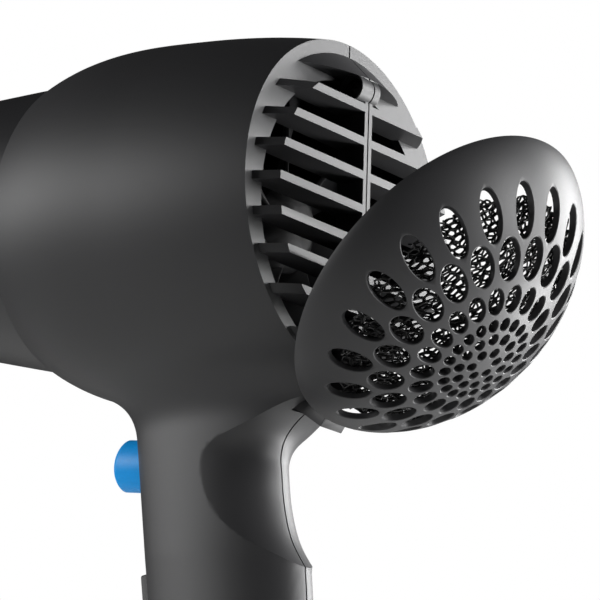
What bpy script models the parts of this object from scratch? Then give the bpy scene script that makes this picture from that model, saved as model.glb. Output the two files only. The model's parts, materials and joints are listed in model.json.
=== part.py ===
"""Hair dryer with an open hinged lint cover, as separate pieces in one Blender scene.

Frame: metres, +Z up, -Y along the air stream (outlet), +Y the air inlet, X = 0 the plane
between the two casing halves. The pieces are drawn about the barrel's axis, with zero in the
grille's ring face, and are then moved so that the origin lies in the middle of the grip.
"""
import math

import bmesh
import bpy
from mathutils import Matrix, Vector

OBJECT_NAME = "hair_dryer"
GRIP = (0.0, -0.018, -0.105)   # middle of the grip, seen from the ring face
GAP = 0.0003            # clearance between neighbouring pieces
WALL = 0.0022           # casing wall
WELD = 0.000002         # edges shorter than this are dissolved after a cut

# rear ring face, tilted so that its top leans towards the outlet
RING_TILT = math.radians(7.5)
RING_HALF_WIDTH = 0.0414
RING_HALF_HEIGHT = 0.0432
RING_RISE = 0.0034      # ring centre above the barrel axis
OPENING_HALF_WIDTH = 0.0348
OPENING_HALF_HEIGHT = 0.0363
OPENING_RISE = 0.0007

# rear housing, a barrel shape that is fullest at BODY_WAIST_Y
BODY_WAIST_Y = -0.041
BODY_FRONT_Y = -0.081
BODY_HALF_HEIGHT = 0.0469
BODY_HALF_WIDTH = 0.0457
BODY_FRONT_DROP = 0.0059
BODY_REAR_DROP_HEIGHT = 0.0040
BODY_REAR_DROP_WIDTH = 0.0043
BODY_FRONT_REACH = 0.038
BODY_REAR_REACH = 0.041
BODY_RISE_START_Y = -0.069
BODY_SEGMENTS = 36

# handle: front line leans back by HANDLE_LEAN for each metre down
HANDLE_LEAN = 0.28
HANDLE_FRONT_Y0 = -0.06895
HANDLE_BACK_Y = 0.0023
HANDLE_CORNER_Z = -0.0857
HANDLE_BOTTOM_Z = -0.175
HANDLE_HALF_WIDTH = 0.0137
HANDLE_END_HALF_WIDTH = 0.0122
HANDLE_TAPER = 0.0126
HANDLE_SEGMENTS = 24
FLARE_START_Z = -0.060
FLARE_HEIGHT = 0.020
FLARE_FRONT = 0.010
FLARE_SIDE = 0.008

# thumb scoop: (depth behind the barrel axis, height) along the back seam
SCOOP_LINE = (
    (0.0090, -0.0405), (0.0010, -0.0440), (-0.0050, -0.0480), (-0.0090, -0.0532),
    (-0.0098, -0.0580), (-0.0088, -0.0625), (-0.0068, -0.0700), (-0.0037, -0.0775),
    (0.0004, -0.0832), (0.0082, -0.0915),
)
SCOOP_CENTRE_Y = -0.024
SCOOP_SIDE_SLACK = 0.0006

# grille: a flat-topped cone standing on the ring, reduced to bars
BAR_COUNT = 8
BAR_PITCH = 0.0087
BAR_TOP_RISE = 0.0296
BAR_THICKNESS = 0.0021
BAR_PROUD = 0.0064
RIB_WIDTH = 0.0031
CONE_MARGIN = 0.0026
CONE_TOP_HALF_WIDTH = 0.0358
CONE_TOP_HALF_HEIGHT = 0.0350
CONE_TOP_RISE = 0.0025
BOSS_RADIUS = 0.0035
BOSS_RISE = 0.0342
BOSS_DEPTH = 0.0045
BOSS_RIGHT_LENGTH = 0.0026
BOSS_LEFT_LENGTH = 0.0050
BOSS_CUP_RADIUS = 0.0029
BOSS_CUP_FLOOR = 0.0025

# front barrel
BARREL_REAR_Y = -0.0765
BARREL_FRONT_Y = -0.160
BARREL_REAR_RADIUS = 0.0382
BARREL_FRONT_RADIUS = 0.0280
BARREL_WALL = 0.0018
BARREL_POWER = 1.08
BARREL_FLANGE = 0.0010
BARREL_SEGMENTS = 32
LIP_RADIUS = BARREL_REAR_RADIUS + GAP
GRILLE_FRONT_Y = BARREL_FRONT_Y + 0.0040
GRILLE_REAR_Y = BARREL_FRONT_Y + 0.0070
GRILLE_RIM = 0.0018
GRILLE_RING_RADII = (0.0080, 0.0165)
GRILLE_RING_WIDTH = 0.0012

# lint cover, closed on the ring and then opened about its hinge
COVER_POLE_Y = 0.0258
COVER_WALL = 0.0018
COVER_POWER = 0.68
COVER_OPEN = math.radians(-44.0)
HINGE_Y = -0.0066
HINGE_Z = -0.0437
HINGE_PIN_RADIUS = 0.0014
LUG_RADIUS = 0.0031
LUG_HALF_WIDTH = 0.0048
COVER_REACH = 0.0433
# perforation rings: (count, distance from the axis, half width, half length, half-pitch turn)
PERFORATIONS = (
    (6, 0.0038, 0.00105, 0.00115, 1.0),
    (12, 0.0076, 0.00110, 0.00125, 0.0),
    (20, 0.0114, 0.00115, 0.00135, 0.0),
    (20, 0.0174, 0.00170, 0.00280, 0.0),
    (20, 0.0260, 0.00245, 0.00430, 1.0),
    (20, 0.0350, 0.00260, 0.00560, 0.0),
)
HOLE_SIDES = 6
FOAM_GAP = 0.0006
FOAM_THICKNESS = 0.0040
FOAM_REACH = 0.86

# controls
BUTTON_Z = -0.0618
BUTTON_HALF_HEIGHT = 0.0067
BUTTON_HALF_WIDTH = 0.0052
BUTTON_FRONT_Y = -0.0605
BUTTON_REAR_Y = -0.0490
PLATE_TOP_Z = -0.088
PLATE_BOTTOM_Z = -0.138
PLATE_HALF_WIDTH = 0.0058
PLATE_PROUD = 0.0012
PLATE_THICKNESS = 0.0040
SLIDER_TRAVEL = 0.0050
SLIDER_ZS = (("heat_switch", -0.1035), ("speed_switch", -0.1245))
SLIDER_HALF_WIDTH = 0.0048
SLIDER_HALF_LENGTH = 0.0046
SLIDER_CAP = 0.0026
SLOT_HALF_WIDTH = 0.0022
NECK_HALF_WIDTH = 0.0018
NECK_HALF_LENGTH = 0.0026
SLOT_SLACK = 0.0004

# fasteners: (depth behind the barrel axis, height) of the casing screws
SCREW_PLACES = ((-0.0300, -0.0850), (-0.0050, -0.1600))
SCREW_SEAT_X = -0.0100
SCREW_TIP_X = 0.0070
SHANK_RADIUS = 0.0013
HEAD_RADIUS = 0.0027
HEAD_HEIGHT = 0.0015
DRIVE_DEPTH = 0.0008
DRIVE_REACH = 0.0016

# bush in the handle's end
GLAND_BORE = 0.0035
GLAND_TIP_RADIUS = 0.0048
GLAND_ROOT_RADIUS = 0.0052
GLAND_COLLAR_RADIUS = 0.0068

# air mover and heater
MOTOR_RADIUS = 0.0165
MOTOR_FRONT_Y = -0.0720
MOTOR_REAR_Y = -0.0360
FAN_FRONT_Y = -0.0300
FAN_REAR_Y = -0.0140
FAN_RADIUS = 0.0355
FAN_BLADES = 7
DUCT_RADIUS = 0.0385
DUCT_WALL = 0.0016
SHAFT_RADIUS = 0.0015
SHIELD_RADIUS = 0.0258
SHIELD_WALL = 0.0008
MICA_THICKNESS = 0.0010
SHIELD_FRONT_Y = -0.1510
SHIELD_REAR_Y = -0.0880
MICA_FRONT_Y = -0.1480
MICA_REAR_Y = -0.0900
COIL_RADIUS = 0.0216
COIL_TURNS = 6
COIL_FRONT_Y = -0.1440
COIL_LENGTH = 0.0460
COIL_WIRE_RADIUS = 0.0007
CUP_RADIUS = MOTOR_RADIUS + 0.0030
CUP_WALL = 0.0014
DUCT_FRONT_Y = -0.0700
DUCT_REAR_Y = -0.0130
VANE_COUNT = 6

COLOURS = {
    "shell": ((0.115, 0.115, 0.118), 0.50, 0.0),
    "barrel": ((0.085, 0.085, 0.088), 0.48, 0.0),
    "cover": ((0.095, 0.095, 0.098), 0.48, 0.0),
    "foam": ((0.012, 0.012, 0.012), 0.55, 0.0),
    "button": ((0.010, 0.260, 0.630), 0.25, 0.0),
    "switch": ((0.030, 0.030, 0.032), 0.35, 0.0),
    "steel": ((0.560, 0.560, 0.570), 0.30, 1.0),
    "mica": ((0.520, 0.440, 0.300), 0.60, 0.0),
    "nichrome": ((0.420, 0.400, 0.380), 0.35, 1.0),
    "motor": ((0.480, 0.480, 0.480), 0.40, 1.0),
    "fan": ((0.060, 0.060, 0.062), 0.45, 0.0),
    "board": ((0.030, 0.150, 0.070), 0.50, 0.0),
    "rubber": ((0.025, 0.025, 0.025), 0.75, 0.0),
    "brass": ((0.700, 0.520, 0.240), 0.35, 1.0),
}

RING_NORMAL = Vector((0.0, math.cos(RING_TILT), math.sin(RING_TILT)))
RING_UP = Vector((0.0, -math.sin(RING_TILT), math.cos(RING_TILT)))
SIDE = Vector((1.0, 0.0, 0.0))


# ---------------------------------------------------------------- scene helpers
def clear_scene():
    for item in list(bpy.data.objects):
        bpy.data.objects.remove(item, do_unlink=True)


def new_collection(name):
    group = bpy.data.collections.new(name)
    bpy.context.scene.collection.children.link(group)
    return group


def material(slot):
    found = bpy.data.materials.get(slot)
    if found:
        return found
    colour, roughness, metallic = COLOURS[slot]
    made = bpy.data.materials.new(slot)
    made.use_nodes = True
    shader = made.node_tree.nodes["Principled BSDF"]
    shader.inputs["Base Color"].default_value = (*colour, 1.0)
    shader.inputs["Roughness"].default_value = roughness
    shader.inputs["Metallic"].default_value = metallic
    return made


def mesh_object(name, bm, group):
    """Turn a bmesh into an object with outward faces."""
    bmesh.ops.recalc_face_normals(bm, faces=bm.faces)
    mesh = bpy.data.meshes.new(name)
    bm.to_mesh(mesh)
    bm.free()
    made = bpy.data.objects.new(name, mesh)
    group.objects.link(made)
    return made


def cutter(name, bm):
    made = mesh_object(name, bm, CUTTERS)
    made.hide_render = True
    made.display_type = "WIRE"
    return made


def combine(target, tool, operation):
    """Boolean of two meshes, kept as plain geometry on the target."""
    step = target.modifiers.new(operation.lower(), "BOOLEAN")
    step.operation = operation
    step.solver = "EXACT"
    step.object = tool
    bpy.context.view_layer.update()
    graph = bpy.context.evaluated_depsgraph_get()
    result = bpy.data.meshes.new_from_object(target.evaluated_get(graph))
    target.modifiers.clear()
    bm = bmesh.new()
    bm.from_mesh(result)
    bmesh.ops.dissolve_degenerate(bm, dist=WELD, edges=bm.edges)
    bm.to_mesh(result)
    bm.free()
    target.data = result
    return target


def cut(target, tool):
    return combine(target, tool, "DIFFERENCE")


def join(target, tool):
    return combine(target, tool, "UNION")


def dress(item, slot, smooth_angle=35.0):
    item.data.materials.clear()
    item.data.materials.append(material(slot))
    item.data.shade_smooth()
    item.data.set_sharp_from_angle(angle=math.radians(smooth_angle))
    return item


# ---------------------------------------------------------------- shape helpers
def loft(rings):
    """Closed bmesh through point rings of equal length, with flat ends."""
    bm = bmesh.new()
    rows = [[bm.verts.new(point) for point in ring] for ring in rings]
    count = len(rows[0])
    for lower, upper in zip(rows, rows[1:]):
        for i in range(count):
            j = (i + 1) % count
            bm.faces.new((lower[i], lower[j], upper[j], upper[i]))
    bm.faces.new(rows[0])
    bm.faces.new(rows[-1])
    return bm


def oval(centre, across, up, half_width, half_height, count):
    """Points of an ellipse in the plane of two directions, none of them on its axes."""
    points = []
    for i in range(count):
        turn = 2.0 * math.pi * (i + 0.5) / count
        points.append(centre + across * (half_width * math.cos(turn)) + up * (half_height * math.sin(turn)))
    return points


def box(low, high):
    bm = bmesh.new()
    bmesh.ops.create_cube(bm, size=1.0)
    size = [b - a for a, b in zip(low, high)]
    middle = [(a + b) / 2.0 for a, b in zip(low, high)]
    bmesh.ops.scale(bm, vec=size, verts=bm.verts)
    bmesh.ops.translate(bm, vec=middle, verts=bm.verts)
    return bm


def rod(start, end, radius, segments=16, end_radius=None):
    """Cylinder or cone between two points."""
    start, end = Vector(start), Vector(end)
    along = end - start
    bm = bmesh.new()
    bmesh.ops.create_cone(bm, cap_ends=True, segments=segments, radius1=radius,
                          radius2=radius if end_radius is None else end_radius, depth=along.length)
    turn = along.to_track_quat("Z", "Y").to_matrix().to_4x4()
    bmesh.ops.transform(bm, matrix=Matrix.Translation((start + end) / 2.0) @ turn, verts=bm.verts)
    return bm


def turned_y(profile, segments):
    """Solid of revolution about the barrel axis from a closed (y, radius) profile."""
    bm = bmesh.new()
    rows = []
    for i in range(segments):
        turn = 2.0 * math.pi * i / segments
        rows.append([bm.verts.new((r * math.cos(turn), y, r * math.sin(turn))) for y, r in profile])
    count = len(profile)
    for i, row in enumerate(rows):
        following = rows[(i + 1) % segments]
        for k in range(count):
            m = (k + 1) % count
            bm.faces.new((row[k], row[m], following[m], following[k]))
    return bm


def tube_y(front, rear, outer, inner, segments):
    return turned_y(((front, inner), (front, outer), (rear, outer), (rear, inner)), segments)


def rounded_box(low, high, radius, segments=2):
    bm = box(low, high)
    bmesh.ops.bevel(bm, geom=list(bm.edges), offset=radius, segments=segments, profile=0.5,
                    affect="EDGES")
    return bm


def moved(bm, matrix):
    bmesh.ops.transform(bm, matrix=matrix, verts=bm.verts)
    return bm


def trim(bm, point, normal):
    """Cut away what lies beyond a plane and close the face there."""
    result = bmesh.ops.bisect_plane(bm, geom=bm.verts[:] + bm.edges[:] + bm.faces[:], dist=1e-7,
                                    plane_co=point, plane_no=normal, clear_outer=True)
    edges = [e for e in result["geom_cut"] if isinstance(e, bmesh.types.BMEdge)]
    bmesh.ops.edgeloop_fill(bm, edges=edges)
    return bm


def wire_tube(name, points, radius, group):
    """Round wire along points, with closed ends, as a mesh object."""
    curve = bpy.data.curves.new(name, "CURVE")
    curve.dimensions = "3D"
    curve.bevel_depth = radius
    curve.bevel_resolution = 1
    curve.use_fill_caps = True
    line = curve.splines.new("POLY")
    line.points.add(len(points) - 1)
    for knot, point in zip(line.points, points):
        knot.co = (*point, 1.0)
    source = bpy.data.objects.new(name + "_path", curve)
    group.objects.link(source)
    bpy.context.view_layer.update()
    graph = bpy.context.evaluated_depsgraph_get()
    mesh = bpy.data.meshes.new_from_object(source.evaluated_get(graph))
    place = source.matrix_world.copy()
    bpy.data.objects.remove(source, do_unlink=True)
    bm = bmesh.new()
    bm.from_mesh(mesh)
    bmesh.ops.remove_doubles(bm, verts=bm.verts, dist=1e-6)
    made = mesh_object(name, bm, group)
    made.matrix_world = place
    return made


# ---------------------------------------------------------------- housing shapes
def body_section(y, inset):
    """Half width, half height and centre height of the rear housing at y."""
    if y < BODY_WAIST_Y:
        share = ((BODY_WAIST_Y - y) / BODY_FRONT_REACH) ** 3
        half_height = BODY_HALF_HEIGHT - BODY_FRONT_DROP * share
        half_width = BODY_HALF_WIDTH - (BODY_FRONT_DROP - BODY_HALF_HEIGHT + BODY_HALF_WIDTH) * share
    else:
        share = ((y - BODY_WAIST_Y) / BODY_REAR_REACH) ** 2.2
        half_height = BODY_HALF_HEIGHT - BODY_REAR_DROP_HEIGHT * share
        half_width = BODY_HALF_WIDTH - BODY_REAR_DROP_WIDTH * share
    rise = 0.0
    if y > BODY_RISE_START_Y:
        rise = RING_RISE * ((y - BODY_RISE_START_Y) / -BODY_RISE_START_Y) ** 1.6
    return half_width - inset, half_height - inset, rise


def body_solid(inset, front_y, ring_back):
    """Housing volume, cut off by the ring plane moved forwards by ring_back."""
    rings = []
    steps = 9
    rear_y = 0.012
    for i in range(steps + 1):
        y = front_y + (rear_y - front_y) * i / steps
        half_width, half_height, rise = body_section(y, inset)
        rings.append(oval(Vector((0.0, y, rise)), SIDE, Vector((0, 0, 1)), half_width, half_height,
                          BODY_SEGMENTS))
    return trim(loft(rings), RING_NORMAL * -ring_back, RING_NORMAL)


def handle_back(z):
    if z > HANDLE_CORNER_Z:
        return HANDLE_BACK_Y + 0.03 * (z - HANDLE_CORNER_Z)
    drop = HANDLE_CORNER_Z - z
    share = drop / (HANDLE_CORNER_Z - HANDLE_BOTTOM_Z)
    return HANDLE_BACK_Y + HANDLE_LEAN * drop - HANDLE_TAPER * share ** 1.5


def handle_front(z):
    return HANDLE_FRONT_Y0 - HANDLE_LEAN * z


# places that follow from the handle's front and back lines
PLATE_LENGTH = (PLATE_TOP_Z - PLATE_BOTTOM_Z) * math.sqrt(1.0 + HANDLE_LEAN ** 2)
PLATE_MIDDLE_Z = (PLATE_TOP_Z + PLATE_BOTTOM_Z) / 2.0
PLATE_FRAME = (Matrix.Translation((0.0, handle_front(PLATE_MIDDLE_Z), PLATE_MIDDLE_Z))
               @ Matrix.Rotation(math.atan(HANDLE_LEAN), 4, "X"))
GLAND_Y = (handle_front(HANDLE_BOTTOM_Z) + handle_back(HANDLE_BOTTOM_Z)) / 2.0


def handle_half_width(z):
    share = max(0.0, min(1.0, (HANDLE_CORNER_Z - z) / (HANDLE_CORNER_Z - HANDLE_BOTTOM_Z)))
    return HANDLE_HALF_WIDTH + (HANDLE_END_HALF_WIDTH - HANDLE_HALF_WIDTH) * share


def flare(z):
    """Share of the flare that blends the handle into the housing."""
    if z <= FLARE_START_Z:
        return 0.0
    share = min(1.0, (z - FLARE_START_Z) / FLARE_HEIGHT)
    return 1.0 - math.sqrt(1.0 - 0.98 * share * share)


def handle_solid(inset, bottom_z):
    heights = [bottom_z, -0.160, -0.145, -0.130, -0.115, -0.100, HANDLE_CORNER_Z, -0.075, -0.066,
               -0.060, -0.056, -0.052, -0.048, -0.044, -0.041, -0.034]
    rings = []
    for z in heights:
        front = handle_front(z) - FLARE_FRONT * flare(z) + inset
        back = handle_back(z) - inset
        half_width = handle_half_width(z) + FLARE_SIDE * flare(z) - inset
        rings.append(oval(Vector((0.0, (front + back) / 2.0, z)), SIDE, Vector((0, 1, 0)), half_width,
                          (back - front) / 2.0, HANDLE_SEGMENTS))
    return loft(rings)


def scoop_solid(inset):
    """The volume behind the handle that the thumb scoop takes away."""
    rings = []
    arc_steps = 12
    for back, z in SCOOP_LINE:
        half_width = handle_half_width(z) + FLARE_SIDE * flare(z) + SCOOP_SIDE_SLACK - inset
        reach = back - SCOOP_CENTRE_Y - inset
        ring = []
        for i in range(arc_steps + 1):
            turn = math.pi * i / arc_steps
            ring.append(Vector((half_width * math.cos(turn), SCOOP_CENTRE_Y + reach * math.sin(turn), z)))
        ring.append(Vector((-0.035, SCOOP_CENTRE_Y, z)))
        ring.append(Vector((-0.035, 0.050, z)))
        ring.append(Vector((0.035, 0.050, z)))
        ring.append(Vector((0.035, SCOOP_CENTRE_Y, z)))
        rings.append(ring)
    return loft(rings)


def on_ring(x, rise, depth):
    """Point given by side, height up the ring face and distance behind it."""
    return SIDE * x + RING_UP * rise + RING_NORMAL * depth


def ring_slab(half_width, low, high, front, rear):
    """Box aligned with the ring face."""
    bm = box((-half_width, front, low), (half_width, rear, high))
    turn = Matrix((SIDE, RING_NORMAL, RING_UP)).transposed().to_4x4()
    return moved(bm, turn)


def grille():
    """Bars, rib and the solid top and bottom segments of the inlet grille."""
    base_across = RING_HALF_WIDTH - CONE_MARGIN
    base_up = RING_HALF_HEIGHT - CONE_MARGIN
    cone = loft([
        oval(on_ring(0, RING_RISE, -0.0012), SIDE, RING_UP, base_across, base_up, BODY_SEGMENTS),
        oval(on_ring(0, RING_RISE, 0.0004), SIDE, RING_UP, base_across, base_up, BODY_SEGMENTS),
        oval(on_ring(0, CONE_TOP_RISE, BAR_PROUD), SIDE, RING_UP, CONE_TOP_HALF_WIDTH,
             CONE_TOP_HALF_HEIGHT, BODY_SEGMENTS),
    ])
    made = mesh_object("grille", cone, CUTTERS)
    wide = 0.060
    lowest = BAR_TOP_RISE - BAR_PITCH * BAR_COUNT + BAR_THICKNESS / 2.0
    highest = BAR_TOP_RISE + BAR_PITCH - BAR_THICKNESS / 2.0
    gaps = []
    for i in range(BAR_COUNT + 1):
        top = highest - BAR_PITCH * i
        bottom = top - BAR_PITCH + BAR_THICKNESS
        gaps.append((max(bottom, lowest), top))
    for side in (-1.0, 1.0):
        for low, high in gaps:
            slot = ring_slab(wide / 2.0, low, high, -0.010, 0.020)
            bmesh.ops.translate(slot, vec=(side * (wide / 2.0 + RIB_WIDTH / 2.0), 0, 0), verts=slot.verts)
            cut(made, cutter("grille_gap", slot))
    return made


# ---------------------------------------------------------------- casing
def casing():
    """Both halves of the casing as one hollow shape, before it is split."""
    shape = mesh_object("casing", body_solid(0.0, BODY_FRONT_Y, 0.0), CUTTERS)
    join(shape, mesh_object("handle_outer", handle_solid(0.0, HANDLE_BOTTOM_Z), CUTTERS))
    cut(shape, cutter("scoop", scoop_solid(0.0)))

    hollow = mesh_object("hollow", body_solid(WALL, BODY_FRONT_Y - 0.004, WALL), CUTTERS)
    core = mesh_object("handle_core", handle_solid(WALL, HANDLE_BOTTOM_Z + WALL), CUTTERS)
    cut(core, cutter("scoop_inner", scoop_solid(WALL)))
    join(hollow, core)
    join(hollow, cutter("front_mouth", rod((0, BODY_FRONT_Y - 0.004, 0), (0, -0.0785, 0), LIP_RADIUS,
                                           BARREL_SEGMENTS + 2)))
    cut(hollow, cutter("hinge_block", box((-0.0085, -0.0118, -0.0500), (0.0085, 0.020, -0.0385))))
    for y, z in SCREW_PLACES:
        cut(hollow, cutter("screw_post", rod((-0.030, y, z), (0.030, y, z), 0.0046, 12)))
    cut(shape, hollow)

    opening = loft([
        oval(on_ring(0, OPENING_RISE, depth), SIDE, RING_UP, OPENING_HALF_WIDTH, OPENING_HALF_HEIGHT,
             BODY_SEGMENTS) for depth in (-0.006, 0.003)
    ])
    cut(shape, cutter("inlet_opening", opening))
    bars = grille()
    boss = mesh_object("boss", rod(on_ring(-BOSS_RIGHT_LENGTH, BOSS_RISE, BOSS_DEPTH),
                                   on_ring(BOSS_LEFT_LENGTH, BOSS_RISE, BOSS_DEPTH), BOSS_RADIUS, 20),
                       CUTTERS)
    cut(boss, cutter("boss_cup", rod(on_ring(BOSS_CUP_FLOOR, BOSS_RISE, BOSS_DEPTH),
                                     on_ring(BOSS_LEFT_LENGTH + 0.002, BOSS_RISE, BOSS_DEPTH),
                                     BOSS_CUP_RADIUS, 18)))
    join(bars, boss)
    join(shape, bars)
    return shape


def casing_cuts():
    """Openings that both halves share."""
    cuts = []
    cuts.append(rod(on_ring(-0.010, BOSS_RISE, BOSS_DEPTH), on_ring(0.010, BOSS_RISE, BOSS_DEPTH),
                    SHANK_RADIUS + GAP, 12))
    cuts.append(box((-LUG_HALF_WIDTH - 0.0004, -0.0108, -0.0492), (LUG_HALF_WIDTH + 0.0004, 0.020, -0.0378)))
    cuts.append(rod((-0.0075, HINGE_Y, HINGE_Z), (0.0075, HINGE_Y, HINGE_Z), HINGE_PIN_RADIUS + GAP, 14))
    cuts.append(box((-BUTTON_HALF_WIDTH - GAP, -0.070, BUTTON_Z - BUTTON_HALF_HEIGHT - GAP),
                    (BUTTON_HALF_WIDTH + GAP, -0.040, BUTTON_Z + BUTTON_HALF_HEIGHT + GAP)))
    seat = box((-PLATE_HALF_WIDTH - GAP, -0.012, -0.5 * PLATE_LENGTH - GAP),
               (PLATE_HALF_WIDTH + GAP, 0.006, 0.5 * PLATE_LENGTH + GAP))
    cuts.append(moved(seat, PLATE_FRAME))
    cuts.append(rod((0, GLAND_Y, HANDLE_BOTTOM_Z - 0.004), (0, GLAND_Y, HANDLE_BOTTOM_Z + 0.006),
                    GLAND_ROOT_RADIUS + GAP, 20))
    return [cutter("casing_cut", bm) for bm in cuts]


def shell_half(name, side, whole, cuts):
    """One casing half: the part of the casing on one side of the seam."""
    half = whole.copy()
    half.data = whole.data.copy()
    half.name = name
    PIECES.objects.link(half)
    low, high = (-0.080, GAP / 2.0) if side > 0 else (-GAP / 2.0, 0.080)
    cut(half, cutter(name + "_split", box((low, -0.2, -0.25), (high, 0.1, 0.1))))
    for tool in cuts:
        cut(half, tool)
    for y, z in SCREW_PLACES:
        reach = SCREW_TIP_X + 0.001 if side > 0 else -0.030
        cut(half, cutter("screw_hole", rod((0.0, y, z), (reach, y, z), SHANK_RADIUS + GAP, 12)))
        if side < 0:
            cut(half, cutter("screw_sink", rod((SCREW_SEAT_X, y, z), (-0.030, y, z), HEAD_RADIUS + 0.0004,
                                               14)))
    return dress(half, "shell")


# ---------------------------------------------------------------- front end
def barrel_radius(y):
    """Outer radius of the barrel, which stays level where it enters the housing."""
    share = (BARREL_REAR_Y - y) / (BARREL_REAR_Y - BARREL_FRONT_Y)
    start = BARREL_REAR_RADIUS + 0.0005
    return min(start - (start - BARREL_FRONT_RADIUS) * share ** BARREL_POWER, BARREL_REAR_RADIUS)


def front_barrel():
    steps = 5
    ys = [BARREL_REAR_Y + (BARREL_FRONT_Y - BARREL_REAR_Y) * i / steps for i in range(steps + 1)]
    outer = [(y, barrel_radius(y)) for y in ys]
    inner = [(y, barrel_radius(y) - BARREL_WALL) for y in reversed(ys)]
    rear = [(BARREL_REAR_Y + 0.002, inner[-1][1]),
            (BARREL_REAR_Y + 0.002, BARREL_REAR_RADIUS + BARREL_FLANGE),
            (BARREL_REAR_Y, BARREL_REAR_RADIUS + BARREL_FLANGE)]
    return dress(mesh_object("front_barrel", turned_y(outer + inner + rear, BARREL_SEGMENTS), PIECES),
                 "barrel")


def outlet_grille():
    """Heat-resistant outlet grille: rings joined by a cross of spokes."""
    rim = barrel_radius(GRILLE_FRONT_Y) - BARREL_WALL - GAP
    made = mesh_object("outlet_grille", tube_y(GRILLE_FRONT_Y, GRILLE_REAR_Y, rim, rim - GRILLE_RIM, 24),
                       PIECES)
    for radius in GRILLE_RING_RADII:
        join(made, cutter("grille_ring", tube_y(GRILLE_FRONT_Y, GRILLE_REAR_Y, radius,
                                                radius - GRILLE_RING_WIDTH, 16)))
    for i in range(3):
        turn = Matrix.Rotation(math.pi * i / 3.0, 4, "Y")
        spoke = box((-rim + 0.0006, GRILLE_FRONT_Y, -0.0006), (rim - 0.0006, GRILLE_REAR_Y, 0.0006))
        join(made, cutter("grille_spoke", moved(spoke, turn)))
    return dress(made, "switch")


def heat_shield():
    tube = tube_y(SHIELD_FRONT_Y, SHIELD_REAR_Y, SHIELD_RADIUS, SHIELD_RADIUS - SHIELD_WALL, 32)
    return dress(mesh_object("heat_shield", tube, PIECES), "mica")


def heater_frame():
    """Two mica boards crossing on the barrel axis."""
    half = MICA_THICKNESS / 2.0
    reach = COIL_RADIUS - 0.0016
    made = mesh_object("heater_frame", box((-reach, MICA_FRONT_Y, -half), (reach, MICA_REAR_Y, half)), PIECES)
    join(made, cutter("mica_board", box((-half, MICA_FRONT_Y, -reach), (half, MICA_REAR_Y, reach))))
    return dress(made, "mica")


def heater_coil():
    points = []
    per_turn = 12
    for i in range(COIL_TURNS * per_turn + 1):
        turn = 2.0 * math.pi * i / per_turn
        y = COIL_FRONT_Y + COIL_LENGTH * i / (COIL_TURNS * per_turn)
        points.append((COIL_RADIUS * math.cos(turn), y, COIL_RADIUS * math.sin(turn)))
    return dress(wire_tube("heater_coil", points, COIL_WIRE_RADIUS, PIECES), "nichrome")


def thermostat():
    """Bimetal thermostat lying on the level board."""
    body = rounded_box((0.0060, -0.1100, 0.0009), (0.0130, -0.1010, 0.0060), 0.0008)
    return dress(mesh_object("thermostat", body, PIECES), "steel")


def thermal_fuse():
    """Thermal fuse lying on the level board, opposite the thermostat."""
    body = rod((-0.0100, -0.1180, 0.0028), (-0.0100, -0.1060, 0.0028), 0.0018, 12)
    return dress(mesh_object("thermal_fuse", body, PIECES), "brass")


# ---------------------------------------------------------------- air mover
def motor_mount():
    """Air duct with guide vanes and the cup that holds the motor."""
    made = mesh_object("motor_mount", tube_y(DUCT_FRONT_Y, DUCT_REAR_Y, DUCT_RADIUS, DUCT_RADIUS - DUCT_WALL,
                                             36), PIECES)
    join(made, cutter("motor_cup", tube_y(DUCT_FRONT_Y, -0.0400, CUP_RADIUS, CUP_RADIUS - CUP_WALL, 28)))
    for i in range(VANE_COUNT):
        vane = box((CUP_RADIUS - CUP_WALL / 2.0, -0.0640, -0.0006),
                   (DUCT_RADIUS - DUCT_WALL / 2.0, -0.0420, 0.0006))
        turn = 2.0 * math.pi * (i + 0.5) / VANE_COUNT
        join(made, cutter("vane", moved(vane, Matrix.Rotation(turn, 4, "Y"))))
    return dress(made, "fan")


def motor_cushion():
    """Rubber sleeve between the motor and its cup."""
    tube = tube_y(-0.0660, -0.0440, CUP_RADIUS - CUP_WALL - GAP, MOTOR_RADIUS + GAP, 28)
    return dress(mesh_object("motor_cushion", tube, PIECES), "rubber")


def motor():
    profile = ((MOTOR_FRONT_Y, SHAFT_RADIUS + GAP), (MOTOR_FRONT_Y, 0.0050), (MOTOR_FRONT_Y + 0.002, 0.0050),
               (MOTOR_FRONT_Y + 0.002, MOTOR_RADIUS), (MOTOR_REAR_Y - 0.002, MOTOR_RADIUS),
               (MOTOR_REAR_Y - 0.002, 0.0055), (MOTOR_REAR_Y, 0.0055), (MOTOR_REAR_Y, SHAFT_RADIUS + GAP))
    return dress(mesh_object("motor", turned_y(profile, 28), PIECES), "motor")


def motor_shaft():
    return dress(mesh_object("motor_shaft", rod((0, MOTOR_FRONT_Y - 0.003, 0), (0, FAN_REAR_Y - 0.002, 0),
                                                SHAFT_RADIUS, 14), PIECES), "steel")


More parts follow.
